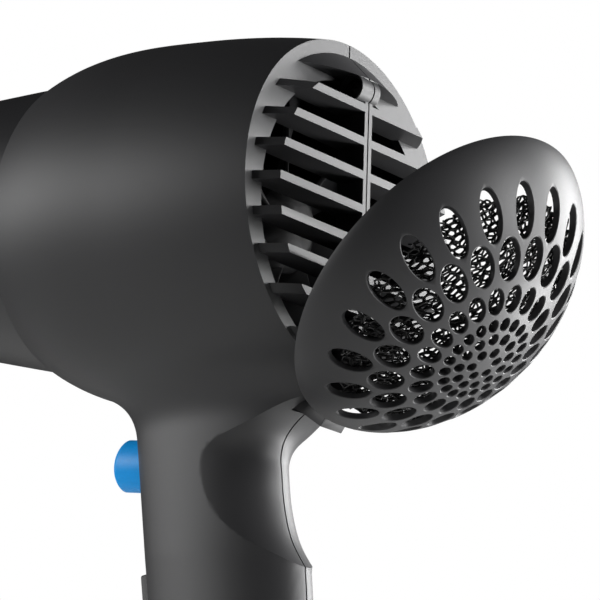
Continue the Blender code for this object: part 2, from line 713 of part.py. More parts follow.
def fan_rotor():
    """Axial fan: a hub with twisted blades."""
    hub = ((FAN_FRONT_Y, SHAFT_RADIUS + GAP), (FAN_FRONT_Y, 0.0125), (FAN_REAR_Y - 0.004, 0.0115),
           (FAN_REAR_Y, 0.0060), (FAN_REAR_Y, SHAFT_RADIUS + GAP))
    made = mesh_object("fan_rotor", turned_y(hub, 28), PIECES)
    middle = (FAN_FRONT_Y + FAN_REAR_Y) / 2.0
    for i in range(FAN_BLADES):
        rings = []
        for radius, pitch, chord in ((0.0100, 52, 0.0130), (0.0200, 40, 0.0150), (0.0290, 32, 0.0165),
                                     (FAN_RADIUS, 26, 0.0170)):
            pitch = math.radians(pitch)
            along = Vector((math.cos(pitch), math.sin(pitch), 0.0)) * (chord / 2.0)
            across = Vector((-math.sin(pitch), math.cos(pitch), 0.0)) * 0.0006
            at = Vector((0.0, middle, radius))
            rings.append([at - along - across, at + along - across, at + along + across,
                          at - along + across])
        blade = moved(loft(rings), Matrix.Rotation(2.0 * math.pi * i / FAN_BLADES, 4, "Y"))
        join(made, cutter("blade", blade))
    return dress(made, "fan")


# ---------------------------------------------------------------- lint cover
def cover_point(turn, share, inset):
    """Point of the closed cover: share runs from 0 at the pole to 1 at the rim."""
    rim = on_ring(RING_HALF_WIDTH * math.cos(turn), RING_RISE + RING_HALF_HEIGHT * math.sin(turn), GAP)
    rise = (1.0 - share * share) ** COVER_POWER
    scale = 1.0 - inset / RING_HALF_HEIGHT
    y = rim.y + (COVER_POLE_Y - rim.y) * rise
    return Vector((rim.x * share * scale, y - inset * rise, rim.z * share * scale))


def cover_normal(turn, share):
    step = 0.004
    at = cover_point(turn, share, 0.0)
    along = cover_point(turn, share + step, 0.0) - at
    around = cover_point(turn + step, share, 0.0) - at
    return along.cross(around).normalized() * -1.0


def dome_shell(low_inset, high_inset, reach, rings, segments):
    """Closed domed sheet between two insets of the cover's surface."""
    bm = bmesh.new()
    outer_pole = bm.verts.new(cover_point(0.0, 0.0, low_inset))
    inner_pole = bm.verts.new(cover_point(0.0, 0.0, high_inset))
    turns = [2.0 * math.pi * i / segments for i in range(segments)]
    shares = [reach * math.sin(0.5 * math.pi * k / rings) for k in range(1, rings + 1)]
    outer = [[bm.verts.new(cover_point(t, s, low_inset)) for t in turns] for s in shares]
    inner = [[bm.verts.new(cover_point(t, s, high_inset)) for t in turns] for s in shares]
    for i in range(segments):
        j = (i + 1) % segments
        bm.faces.new((outer_pole, outer[0][i], outer[0][j]))
        bm.faces.new((inner_pole, inner[0][j], inner[0][i]))
        for rows in (outer, inner):
            for near, far in zip(rows, rows[1:]):
                bm.faces.new((near[i], near[j], far[j], far[i]))
        bm.faces.new((outer[-1][i], outer[-1][j], inner[-1][j], inner[-1][i]))
    return bm


def perforation(turn, distance, half_width, half_length, sides):
    """Prism through the cover wall, its long side pointing at the pole."""
    share = distance / COVER_REACH
    at = cover_point(turn, share, 0.0)
    normal = cover_normal(turn, share)
    if normal.y < 0.0:
        normal.negate()
    length_way = (cover_point(turn, share + 0.01, 0.0) - at).normalized()
    width_way = normal.cross(length_way).normalized()
    rings = []
    for depth in (-0.0045, 0.0015):
        rings.append(oval(at + normal * depth, width_way, length_way, half_width, half_length, sides))
    return loft(rings)


def hinge_frame():
    """Empty on the hinge axis that carries the open cover."""
    pivot = bpy.data.objects.new("cover_hinge_axis", None)
    pivot.location = (0.0, HINGE_Y, HINGE_Z)
    pivot.rotation_euler = (COVER_OPEN, 0.0, 0.0)
    PIECES.objects.link(pivot)
    return pivot


def hang(item, pivot):
    """Fasten a piece that was built in the closed pose to the hinge axis."""
    item.data.transform(Matrix.Translation((0.0, -HINGE_Y, -HINGE_Z)))
    item.parent = pivot
    return item


def lint_cover(pivot):
    made = mesh_object("lint_cover", dome_shell(0.0, COVER_WALL, 0.9995, 7, 32), PIECES)
    for count, distance, half_width, half_length, turned in PERFORATIONS:
        for i in range(count):
            turn = 2.0 * math.pi * (i + 0.5 * turned) / count
            cut(made, cutter("hole", perforation(turn, distance, half_width, half_length, HOLE_SIDES)))
    lug = mesh_object("lug", rod((-LUG_HALF_WIDTH, HINGE_Y, HINGE_Z), (LUG_HALF_WIDTH, HINGE_Y, HINGE_Z),
                                 LUG_RADIUS, 16), CUTTERS)
    arm_half = LUG_HALF_WIDTH - 0.0004
    arm = box((-arm_half, -0.0005, -0.0018), (arm_half, 0.0150, 0.0018))
    lean = math.radians(12.0)
    arm = moved(arm, Matrix.Translation((0.0, HINGE_Y, HINGE_Z)) @ Matrix.Rotation(lean, 4, "X"))
    join(lug, cutter("arm", arm))
    cut(lug, cutter("pin_hole", rod((-0.02, HINGE_Y, HINGE_Z), (0.02, HINGE_Y, HINGE_Z),
                                    HINGE_PIN_RADIUS + GAP, 14)))
    join(made, lug)
    return dress(hang(made, pivot), "cover")


def foam_filter(pivot):
    low = COVER_WALL + FOAM_GAP
    made = mesh_object("foam_filter", dome_shell(low, low + FOAM_THICKNESS, FOAM_REACH, 6, 28), PIECES)
    return dress(hang(made, pivot), "foam")


def hinge_pin():
    return dress(mesh_object("cover_hinge_pin", rod((-0.0072, HINGE_Y, HINGE_Z), (0.0072, HINGE_Y, HINGE_Z),
                                                    HINGE_PIN_RADIUS, 14), PIECES), "steel")


# ---------------------------------------------------------------- controls
def cool_shot_button():
    body = rounded_box((-BUTTON_HALF_WIDTH, BUTTON_FRONT_Y, BUTTON_Z - BUTTON_HALF_HEIGHT),
                       (BUTTON_HALF_WIDTH, BUTTON_REAR_Y, BUTTON_Z + BUTTON_HALF_HEIGHT), 0.0012)
    made = mesh_object("cool_shot_button", body, PIECES)
    return dress(made, "button")


def cool_shot_spring():
    points = []
    turns, per_turn = 3, 8
    for i in range(turns * per_turn + 1):
        turn = 2.0 * math.pi * i / per_turn
        y = -0.0455 + 0.0050 * i / (turns * per_turn)
        points.append((0.0026 * math.cos(turn), y, BUTTON_Z + 0.0026 * math.sin(turn)))
    return dress(wire_tube("cool_shot_spring", points, 0.0003, PIECES), "steel")


def cool_shot_switch():
    """Momentary switch behind the button's spring."""
    body = rounded_box((-0.0050, -0.0398, BUTTON_Z - 0.0062), (0.0050, -0.0320, BUTTON_Z + 0.0062), 0.0006, 1)
    return dress(mesh_object("cool_shot_switch", body, PIECES), "switch")


def switch_plate():
    half_length = PLATE_LENGTH / 2.0
    body = rounded_box((-PLATE_HALF_WIDTH, -PLATE_PROUD, -half_length),
                       (PLATE_HALF_WIDTH, PLATE_THICKNESS - PLATE_PROUD, half_length), 0.0006)
    made = mesh_object("switch_plate", moved(body, PLATE_FRAME), PIECES)
    for _, z in SLIDER_ZS:
        low = plate_height(z) - NECK_HALF_LENGTH - SLOT_SLACK
        high = plate_height(z) + NECK_HALF_LENGTH + SLOT_SLACK + SLIDER_TRAVEL
        slot = box((-SLOT_HALF_WIDTH, -0.010, low), (SLOT_HALF_WIDTH, 0.010, high))
        cut(made, cutter("slider_slot", moved(slot, PLATE_FRAME)))
    return dress(made, "switch")


def plate_height(z):
    """Distance along the plate from its middle for a height in the dryer."""
    return (z - PLATE_MIDDLE_Z) * math.sqrt(1.0 + HANDLE_LEAN ** 2)


def slider(name, z):
    """Slide switch: ribbed cap on the plate with a neck through its slot."""
    at = plate_height(z)
    cap_front = -PLATE_PROUD - GAP
    cap = rounded_box((-SLIDER_HALF_WIDTH, cap_front - SLIDER_CAP, at - SLIDER_HALF_LENGTH),
                      (SLIDER_HALF_WIDTH, cap_front, at + SLIDER_HALF_LENGTH), 0.0005, 1)
    made = mesh_object(name, moved(cap, PLATE_FRAME), PIECES)
    neck = box((-NECK_HALF_WIDTH, cap_front - 0.0005, at - NECK_HALF_LENGTH),
               (NECK_HALF_WIDTH, 0.0032, at + NECK_HALF_LENGTH))
    join(made, cutter(name + "_neck", moved(neck, PLATE_FRAME)))
    return dress(made, "switch")


def switch_body(name, z):
    """Housing of a slide switch, behind the plate and midway along the travel."""
    at = plate_height(z) + SLIDER_TRAVEL / 2.0
    body = rounded_box((-0.0060, 0.0036, at - 0.0085), (0.0060, 0.0110, at + 0.0085), 0.0006, 1)
    return dress(mesh_object(name, moved(body, PLATE_FRAME), PIECES), "switch")


def circuit_board():
    board = box((-0.0075, 0.0114, -0.0200), (0.0075, 0.0128, 0.0160))
    return dress(mesh_object("circuit_board", moved(board, PLATE_FRAME), PIECES), "board")


def cord_gland():
    """Bush in the handle's end where a mains lead would enter."""
    z = HANDLE_BOTTOM_Z
    made = mesh_object("cord_gland", rod((0, GLAND_Y, z - 0.0100), (0, GLAND_Y, z + 0.0050), GLAND_TIP_RADIUS,
                                         20, GLAND_ROOT_RADIUS), PIECES)
    join(made, cutter("gland_collar", rod((0, GLAND_Y, z - 0.0024), (0, GLAND_Y, z - GAP),
                                          GLAND_COLLAR_RADIUS, 20)))
    cut(made, cutter("gland_bore", rod((0, GLAND_Y, z - 0.012), (0, GLAND_Y, z + 0.010), GLAND_BORE, 16)))
    return dress(made, "rubber")


def screw(name, seat, tip_x, way):
    """Pan-head screw along X: seat is under its head, way is the side that the head lies on."""
    x, y, z = seat
    made = mesh_object(name, rod((x + way * 0.0006, y, z), (tip_x, y, z), SHANK_RADIUS, 12), PIECES)
    top = x + way * (GAP + HEAD_HEIGHT)
    join(made, cutter(name + "_head", rod((x + way * GAP, y, z), (top, y, z), HEAD_RADIUS, 16)))
    deep = sorted((top - way * DRIVE_DEPTH, top + way * 0.002))
    cut(made, cutter(name + "_drive", box((deep[0], y - DRIVE_REACH, z - 0.0003),
                                          (deep[1], y + DRIVE_REACH, z + 0.0003))))
    return dress(made, "steel")


def build():
    whole = casing()
    cuts = casing_cuts()
    shell_half("left_shell", 1, whole, cuts)
    shell_half("right_shell", -1, whole, cuts)
    front_barrel()
    outlet_grille()
    heat_shield()
    heater_frame()
    heater_coil()
    thermostat()
    thermal_fuse()
    motor_mount()
    motor_cushion()
    motor()
    motor_shaft()
    fan_rotor()
    pivot = hinge_frame()
    lint_cover(pivot)
    foam_filter(pivot)
    hinge_pin()
    cool_shot_button()
    cool_shot_spring()
    cool_shot_switch()
    switch_plate()
    for name, z in SLIDER_ZS:
        slider(name, z)
        switch_body(name + "_body", z)
    circuit_board()
    cord_gland()
    for index, (y, z) in enumerate(SCREW_PLACES):
        screw("shell_screw_" + str(index + 1), (SCREW_SEAT_X, y, z), SCREW_TIP_X, -1.0)
    screw("grille_screw", on_ring(BOSS_CUP_FLOOR, BOSS_RISE, BOSS_DEPTH), GAP / 2.0 - BOSS_RIGHT_LENGTH, 1.0)
    for item in list(CUTTERS.objects):
        bpy.data.objects.remove(item, do_unlink=True)
    for item in PIECES.objects:
        if item.parent is None:
            item.location -= Vector(GRIP)


clear_scene()
PIECES = new_collection(OBJECT_NAME)
CUTTERS = new_collection(OBJECT_NAME + "_cutters")
build()
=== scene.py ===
"""Looks of the hair dryer with an open lint cover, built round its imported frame."""
import json
import logging
import math
from collections.abc import Callable, Sequence
from dataclasses import dataclass, field
from enum import Enum

import bmesh
import bpy
import numpy as np
from mathutils import Matrix, Vector


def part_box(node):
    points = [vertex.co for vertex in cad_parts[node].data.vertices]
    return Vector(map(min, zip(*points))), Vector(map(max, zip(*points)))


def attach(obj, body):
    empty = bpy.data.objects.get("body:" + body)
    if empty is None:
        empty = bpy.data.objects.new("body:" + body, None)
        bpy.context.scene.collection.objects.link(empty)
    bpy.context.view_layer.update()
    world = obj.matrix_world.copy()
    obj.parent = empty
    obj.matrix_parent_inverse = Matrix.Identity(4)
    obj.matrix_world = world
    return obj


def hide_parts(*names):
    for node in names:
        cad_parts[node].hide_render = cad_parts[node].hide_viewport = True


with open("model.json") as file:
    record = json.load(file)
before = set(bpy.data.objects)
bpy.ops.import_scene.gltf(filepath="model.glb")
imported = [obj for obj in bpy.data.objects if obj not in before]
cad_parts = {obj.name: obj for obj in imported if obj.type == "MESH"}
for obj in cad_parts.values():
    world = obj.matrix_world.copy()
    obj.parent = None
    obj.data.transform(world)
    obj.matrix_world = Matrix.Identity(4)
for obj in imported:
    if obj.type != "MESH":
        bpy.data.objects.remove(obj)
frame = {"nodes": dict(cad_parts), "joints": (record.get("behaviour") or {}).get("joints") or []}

LOG = logging.getLogger("hair_dryer")
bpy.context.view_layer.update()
MM = 0.001
# room round a part that moves or is fitted, and the seam between the casing halves
PLAY = 0.3 * MM
SEAM_GAP = 0.5 * MM

JOINTS = {joint["name"]: joint for joint in frame["joints"]}
# zero of the barrel's own measures: on its axis, in the face of the inlet ring
FAN_TO_RING = 22.0 * MM
RING_CENTRE = Vector(JOINTS["fan_spin"]["pos_m"]) + Vector((0.0, FAN_TO_RING, 0.0))
HINGE = Vector(JOINTS["cover_hinge"]["pos_m"])
COVER_OPEN = -math.radians(44.0)
RING_TILT = math.radians(7.5)
SIDE = Vector((1.0, 0.0, 0.0))
BACK = Vector((0.0, 1.0, 0.0))
UP = Vector((0.0, 0.0, 1.0))
RING_NORMAL = Vector((0.0, math.cos(RING_TILT), math.sin(RING_TILT)))
RING_UP = Vector((0.0, -math.sin(RING_TILT), math.cos(RING_TILT)))


class Half(Enum):
    """Side of the seam that a casing piece lies on."""

    LEFT = 1
    RIGHT = -1


# ------------------------------------------------------------------ node graphs
class Graph:
    """Writes one node tree, a node at a time."""

    def __init__(self, tree: bpy.types.NodeTree) -> None:
        """Start writing into a node tree."""
        self.tree = tree

    def put(self, socket: bpy.types.NodeSocket, value: object) -> None:
        """Link an output to a socket, or set the socket's own value.

        Args:
            socket: input socket that receives the value.
            value: output socket to link, or a plain value.
        """
        if isinstance(value, bpy.types.NodeSocket):
            self.tree.links.new(value, socket)
        else:
            socket.default_value = value

    def add(self, kind: str, inputs: dict | None = None, **settings: object) -> bpy.types.Node:
        """Add a node.

        Args:
            kind: the node's Blender type name.
            inputs: values or links by socket name or index.
            settings: properties of the node.

        Returns:
            The new node.
        """
        node = self.tree.nodes.new(kind)
        for name, value in settings.items():
            setattr(node, name, value)
        for key, value in (inputs or {}).items():
            self.put(node.inputs[key], value)
        return node

    def first(self, kind: str, inputs: dict | None = None, **settings: object) -> bpy.types.NodeSocket:
        """First output of a new node."""
        return self.add(kind, inputs, **settings).outputs[0]

    def math(self, operation: str, *values: object) -> bpy.types.NodeSocket:
        """Result of one arithmetic step on one to three values."""
        inputs = dict(enumerate(values))
        return self.add("ShaderNodeMath", inputs, operation=operation).outputs[0]

    def vector(self, x: object, y: object, z: object) -> bpy.types.NodeSocket:
        """Vector made of three values."""
        return self.add("ShaderNodeCombineXYZ", {0: x, 1: y, 2: z}).outputs[0]

    def length(self, a: object, b: object) -> bpy.types.NodeSocket:
        """Length of the hypotenuse over two sides."""
        return self.math("SQRT", self.math("ADD", self.math("MULTIPLY", a, a), self.math("MULTIPLY", b, b)))


class ShapeGraph(Graph):
    """A Geometry Nodes tree with named inputs that ends in one dressed mesh."""

    def __init__(self, name: str, sizes: dict[str, float]) -> None:
        """Make the tree.

        Args:
            name: name of the tree.
            sizes: named number inputs with their values.
        """
        super().__init__(bpy.data.node_groups.new(name, "GeometryNodeTree"))
        self.sizes = sizes
        face = self.tree.interface
        face.new_socket("Geometry", in_out="INPUT", socket_type="NodeSocketGeometry")
        for label in sizes:
            face.new_socket(label, in_out="INPUT", socket_type="NodeSocketFloat")
        face.new_socket("Material", in_out="INPUT", socket_type="NodeSocketMaterial")
        face.new_socket("Geometry", in_out="OUTPUT", socket_type="NodeSocketGeometry")
        self.source = self.add("NodeGroupInput")

    def size(self, label: str) -> bpy.types.NodeSocket:
        """Named input of the tree."""
        return self.source.outputs[label]

    def close(self, geometry: bpy.types.NodeSocket) -> None:
        """End the tree in realized, dressed geometry.

        Args:
            geometry: what the tree has made.
        """
        real = self.add("GeometryNodeRealizeInstances", {0: geometry}).outputs[0]
        dressed = self.add("GeometryNodeSetMaterial", {"Geometry": real, "Material": self.size("Material")})
        self.add("NodeGroupOutput", {0: dressed.outputs[0]})

    def mesh(self, finish: bpy.types.Material, base: bpy.types.Mesh | None = None) -> bpy.types.Mesh:
        """Run the tree and return its result as a plain mesh.

        Args:
            finish: material given to the faces.
            base: mesh that the tree works on, if it takes one.

        Returns:
            The finished mesh.
        """
        holder = bpy.data.objects.new(self.tree.name, base or bpy.data.meshes.new(self.tree.name))
        bpy.context.scene.collection.objects.link(holder)
        step = holder.modifiers.new("shape", "NODES")
        step.node_group = self.tree
        for item in self.tree.interface.items_tree:
            if item.in_out == "INPUT" and item.name in self.sizes:
                step[item.identifier] = float(self.sizes[item.name])
            elif item.in_out == "INPUT" and item.name == "Material":
                step[item.identifier] = finish
        holder.update_tag()
        bpy.context.view_layer.update()
        graph = bpy.context.evaluated_depsgraph_get()
        made = bpy.data.meshes.new_from_object(holder.evaluated_get(graph))
        bpy.data.objects.remove(holder, do_unlink=True)
        return made


# ------------------------------------------------------------------ mesh helpers
def add_object(name: str, mesh: bpy.types.Mesh) -> bpy.types.Object:
    """Link a mesh into the scene as an object at the origin.

    Args:
        name: name of the object.
        mesh: its mesh.

    Returns:
        The new object.
    """
    made = bpy.data.objects.new(name, mesh)
    bpy.context.scene.collection.objects.link(made)
    return made


def from_bmesh(name: str, bm: bmesh.types.BMesh) -> bpy.types.Object:
    """Turn a bmesh into an object with outward faces; the bmesh is used up.

    Args:
        name: name of the object and its mesh.
        bm: the shape.

    Returns:
        The new object.
    """
    bmesh.ops.recalc_face_normals(bm, faces=bm.faces)
    mesh = bpy.data.meshes.new(name)
    bm.to_mesh(mesh)
    bm.free()
    return add_object(name, mesh)


def evaluated(item: bpy.types.Object) -> bpy.types.Mesh:
    """Plain mesh of an object with its modifiers applied.

    Args:
        item: the object.

    Returns:
        A new mesh.
    """
    bpy.context.view_layer.update()
    graph = bpy.context.evaluated_depsgraph_get()
    return bpy.data.meshes.new_from_object(item.evaluated_get(graph))


def settle(item: bpy.types.Object) -> bpy.types.Object:
    """Replace an object's modifiers by their result.

    Args:
        item: the object.

    Returns:
        The same object.
    """
    mesh = evaluated(item)
    item.modifiers.clear()
    item.data = mesh
    return item


def combine(target: bpy.types.Object, tool: bpy.types.Object, operation: str) -> bpy.types.Object:
    """Exact Boolean of two objects; the tool is used up.

    Args:
        target: object that keeps the result.
        tool: object that is joined or cut away.
        operation: UNION, DIFFERENCE or INTERSECT.

    Returns:
        The target.
    """
    step = target.modifiers.new("step", "BOOLEAN")
    step.operation = operation
    step.solver = "EXACT"
    step.object = tool
    settle(target)
    bpy.data.objects.remove(tool, do_unlink=True)
    return target


def soften(item: bpy.types.Object, width: float, segments: int = 2, angle: float = 40.0) -> bpy.types.Object:
    """Round the sharp edges of a piece.

    Args:
        item: the piece.
        width: how far the rounding reaches from an edge.
        segments: steps across the rounding.
        angle: bend in degrees past which an edge is rounded.

    Returns:
        The piece.
    """
    step = item.modifiers.new("soften", "BEVEL")
    step.width = width
    step.segments = segments
    step.limit_method = "ANGLE"
    step.angle_limit = math.radians(angle)
    step.use_clamp_overlap = True
    return settle(item)


def smooth(item: bpy.types.Object, angle: float = 35.0) -> bpy.types.Object:
    """Shade a piece smooth, apart from its sharp edges.

    Args:
        item: the piece.
        angle: bend in degrees past which an edge stays sharp.

    Returns:
        The piece.
    """
    item.data.shade_smooth()
    item.data.set_sharp_from_angle(angle=math.radians(angle))
    return item


def oval(centre: Vector, across: Vector, up: Vector, half_width: float, half_height: float,
         count: int) -> list[Vector]:
    """Points of an ellipse, none of them on its axes.

    Args:
        centre: middle of the ellipse.
        across: direction of its width.
        up: direction of its height.
        half_width: half of its width.
        half_height: half of its height.
        count: number of points.

    Returns:
        The points in order.
    """
    points = []
    for i in range(count):
        turn = math.tau * (i + 0.5) / count
        points.append(centre + across * (half_width * math.cos(turn)) + up * (half_height * math.sin(turn)))
    return points


def loft(rings: Sequence[Sequence[Vector]]) -> bmesh.types.BMesh:
    """Closed shape through point rings of equal length.

    Args:
        rings: the sections, from one end to the other.

    Returns:
        The shape, with both ends filled.
    """
    bm = bmesh.new()
    rows = [[bm.verts.new(point) for point in ring] for ring in rings]
    count = len(rows[0])
    for lower, upper in zip(rows, rows[1:]):
        for i in range(count):
            j = (i + 1) % count
            bm.faces.new((lower[i], lower[j], upper[j], upper[i]))
    bm.faces.new(rows[0])
    bm.faces.new(rows[-1])
    return bm


def block(low: Sequence[float], high: Sequence[float]) -> bmesh.types.BMesh:
    """Box between two corners.

    Args:
        low: its lowest corner.
        high: its highest corner.

    Returns:
        The box.
    """
    bm = bmesh.new()
    bmesh.ops.create_cube(bm, size=1.0)
    bmesh.ops.scale(bm, vec=[b - a for a, b in zip(low, high)], verts=bm.verts)
    bmesh.ops.translate(bm, vec=[(a + b) / 2.0 for a, b in zip(low, high)], verts=bm.verts)
    return bm


def rod(start: Vector, end: Vector, radius: float, sides: int = 32) -> bmesh.types.BMesh:
    """Round bar between two points.

    Args:
        start: middle of one end.
        end: middle of the other end.
        radius: radius of the bar.
        sides: number of its flat sides.

    Returns:
        The bar.
    """
    along = Vector(end) - Vector(start)
    bm = bmesh.new()
    bmesh.ops.create_cone(bm, cap_ends=True, segments=sides, radius1=radius, radius2=radius,
                          depth=along.length)
    turn = along.to_track_quat("Z", "Y").to_matrix().to_4x4()
    middle = Matrix.Translation((Vector(start) + Vector(end)) / 2.0)
    bmesh.ops.transform(bm, matrix=middle @ turn, verts=bm.verts)
    return bm


def placed(bm: bmesh.types.BMesh, matrix: Matrix) -> bmesh.types.BMesh:
    """Move a bmesh by a matrix."""
    bmesh.ops.transform(bm, matrix=matrix, verts=bm.verts)
    return bm


def turned(profile: Sequence[tuple[float, float]], sides: int) -> bmesh.types.BMesh:
    """Ring-shaped solid of revolution about the barrel's axis.

    Args:
        profile: closed outline of (y, radius) points.
        sides: number of steps round the axis.

    Returns:
        The solid.
    """
    bm = bmesh.new()
    rows = []
    for i in range(sides):
        turn = math.tau * i / sides
        rows.append([bm.verts.new(RING_CENTRE + Vector((r * math.cos(turn), y, r * math.sin(turn))))
                     for y, r in profile])
    count = len(profile)
    for i, row in enumerate(rows):
        following = rows[(i + 1) % sides]
        for k in range(count):
            m = (k + 1) % count
            bm.faces.new((row[k], row[m], following[m], following[k]))
    return bm


def half_of(bm: bmesh.types.BMesh, point: Vector, normal: Vector) -> None:
    """Cut away what lies beyond a plane and close the wall there.

    Args:
        bm: the shape, changed in place.
        point: a point on the plane.
        normal: direction of the side that goes.
    """
    cut = bmesh.ops.bisect_plane(bm, geom=bm.verts[:] + bm.edges[:] + bm.faces[:], dist=1e-8,
                                 plane_co=point, plane_no=normal, clear_outer=True)
    rim = [e for e in cut["geom_cut"] if isinstance(e, bmesh.types.BMEdge)]
    bmesh.ops.triangle_fill(bm, edges=rim, use_beauty=True, use_dissolve=False)


def on_ring(x: float, rise: float, depth: float) -> Vector:
    """Point given by side, height up the inlet ring and distance behind it."""
    return RING_CENTRE + SIDE * x + RING_UP * rise + RING_NORMAL * depth


RING_PLACE = Matrix.Translation(RING_CENTRE) @ Matrix((SIDE, RING_NORMAL, RING_UP)).transposed().to_4x4()


# ------------------------------------------------------------------ finishes
def grain_group() -> bpy.types.NodeTree:
    """Shared effect of moulded plastic: cloudy colour, uneven gloss and fine spark-eroded grain.

    Returns:
        The node group.
    """
    tree = bpy.data.node_groups.new("moulded_grain", "ShaderNodeTree")
    face = tree.interface
    for label, kind in (("Colour", "NodeSocketColor"), ("Cloud", "NodeSocketFloat"),
                        ("Gloss", "NodeSocketFloat"), ("Grain Size", "NodeSocketFloat")):
        face.new_socket(label, in_out="INPUT", socket_type=kind)
    for label, kind in (("Colour", "NodeSocketColor"), ("Roughness", "NodeSocketFloat"),
                        ("Height", "NodeSocketFloat")):
        face.new_socket(label, in_out="OUTPUT", socket_type=kind)
    g = Graph(tree)
    given = g.add("NodeGroupInput").outputs
    place = g.add("ShaderNodeTexCoord").outputs["Object"]
    cloud = g.add("ShaderNodeTexNoise", {"Vector": place, "Scale": 38.0, "Detail": 3.0}).outputs["Fac"]
    scale = g.math("DIVIDE", 1.0, given["Grain Size"])
    fine = g.add("ShaderNodeTexNoise", {"Vector": place, "Scale": scale, "Detail": 2.0,
                                        "Roughness": 0.65}).outputs["Fac"]
    pits = g.add("ShaderNodeTexVoronoi", {"Vector": place, "Scale": scale}).outputs["Distance"]
    swing = g.math("MULTIPLY", g.math("SUBTRACT", cloud, 0.5), given["Cloud"])
    level = g.math("ADD", 1.0, g.math("ADD", swing, g.math("MULTIPLY", g.math("SUBTRACT", fine, 0.5), 0.18)))
    tint = g.first("ShaderNodeVectorMath", {0: given["Colour"], "Scale": level}, operation="SCALE")
    rough = g.math("ADD", given["Gloss"], g.math("MULTIPLY", g.math("SUBTRACT", fine, 0.5), 0.16))
    height = g.math("ADD", g.math("MULTIPLY", fine, 0.7), g.math("MULTIPLY", pits, 0.3))
    g.add("NodeGroupOutput", {"Colour": tint, "Roughness": rough, "Height": height})
    return tree


@dataclass(frozen=True)
class Finish:
    """One finish of the dryer, a procedural material.

    Colour is linear; grain is the size of the surface texture in metres, and relief its depth.
    """

    name: str
    colour: tuple[float, float, float]
    roughness: float
    metallic: float = 0.0
    cloud: float = 0.16
    grain: float = 0.00035
    relief: float = 0.00001
    coat: float = 0.0
    specular: float = 0.5
    brushed: float = 0.0

    def material(self) -> bpy.types.Material:
        """Material of this finish, made once.

        Returns:
            The material.
        """
        made = bpy.data.materials.get(self.name)
        if made:
            return made
        made = bpy.data.materials.new(self.name)
        made.use_nodes = True
        g = Graph(made.node_tree)
        shader = made.node_tree.nodes["Principled BSDF"]
        shader.inputs["Metallic"].default_value = self.metallic
        shader.inputs["Coat Weight"].default_value = self.coat
        shader.inputs["Coat Roughness"].default_value = 0.12
        shader.inputs["Specular IOR Level"].default_value = self.specular
        shared = bpy.data.node_groups.get("moulded_grain") or grain_group()
        look = g.add("ShaderNodeGroup", node_tree=shared)
        for label, value in (("Colour", (*self.colour, 1.0)), ("Cloud", self.cloud),
                             ("Gloss", self.roughness), ("Grain Size", self.grain)):
            look.inputs[label].default_value = value
        g.put(shader.inputs["Base Color"], look.outputs["Colour"])
        g.put(shader.inputs["Roughness"], look.outputs["Roughness"])
        height = look.outputs["Height"]
        if self.brushed:
            place = g.add("ShaderNodeTexCoord").outputs["Object"]
            drawn = g.add("ShaderNodeMapping", {"Vector": place, "Scale": (1.0, self.brushed, 1.0)})
            lines = g.add("ShaderNodeTexNoise", {"Vector": drawn.outputs[0], "Scale": 2200.0, "Detail": 2.0})
            height = g.math("ADD", height, lines.outputs["Fac"])
        bump = g.add("ShaderNodeBump", {"Height": height, "Distance": self.relief, "Strength": 1.0})
        g.put(shader.inputs["Normal"], bump.outputs["Normal"])
        return made


SOFT_SHELL = Finish("soft_touch_charcoal", (0.031, 0.031, 0.033), 0.52, cloud=0.12, specular=0.5)
BARREL = Finish("barrel_charcoal", (0.026, 0.026, 0.028), 0.40, cloud=0.12)
COVER = Finish("cover_charcoal", (0.030, 0.030, 0.032), 0.50, cloud=0.10, specular=0.5)
FOAM = Finish("filter_foam_black", (0.006, 0.006, 0.006), 0.32, cloud=0.3, coat=0.3)
BLUE = Finish("cool_shot_blue", (0.002, 0.330, 0.860), 0.42, cloud=0.06, grain=0.0006, relief=0.000004,
              specular=0.25)
DARK = Finish("switch_black", (0.012, 0.012, 0.013), 0.46, specular=0.3)
# Black plastic of the fan and motor mount, made darker still as painted shade so the inside seen through the
# grille reads as deep shade.
FAN_BLACK_AND_PAINTED_SHADE = Finish("fan_black_painted_shade", (0.008, 0.008, 0.009), 0.60, specular=0.3)
# Screw steel given a dark colour; the darkness is partly painted shade, standing in for the shade inside the
# grille boss's cup.
DARK_STEEL_PAINTED_SHADE = Finish("dark_screw_painted_shade", (0.060, 0.060, 0.062), 0.36, 1.0, relief=0.000003)
STEEL = Finish("plated_steel", (0.56, 0.56, 0.57), 0.28, 1.0, relief=0.000004, brushed=12.0)
MOTOR = Finish("motor_can", (0.45, 0.45, 0.46), 0.36, 1.0, relief=0.000005, brushed=18.0)
WIRE = Finish("heater_wire", (0.36, 0.32, 0.29), 0.34, 1.0, relief=0.000003, brushed=6.0)
MICA = Finish("pressed_mica", (0.48, 0.40, 0.26), 0.52, cloud=0.5, grain=0.0016, relief=0.00002)
BOARD = Finish("board_green", (0.020, 0.120, 0.055), 0.42, cloud=0.25, coat=0.3)
RUBBER = Finish("bush_rubber", (0.020, 0.020, 0.021), 0.68, relief=0.00002)
BRASS = Finish("fuse_brass", (0.70, 0.50, 0.22), 0.30, 1.0, relief=0.000004, brushed=9.0)


def dress(item: bpy.types.Object, finish: Finish, record_slot: str, body: str,
          *stands_for: str) -> bpy.types.Object:
    """Give a finished piece its material, its body and the nodes that it stands for.

    Args:
        item: the piece, at the origin.
        finish: the finish of all its faces.
        record_slot: the record's material slot; not used.
        body: CAD body that it rides on.
        stands_for: CAD nodes that it replaces.

    Returns:
        The piece.
    """
    item.data.materials.clear()
    item.data.materials.append(finish.material())
    if stands_for:
        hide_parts(*stands_for)
    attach(item, body)
    LOG.info("%s: %d faces on body %s", item.name, len(item.data.polygons), body)
    return item


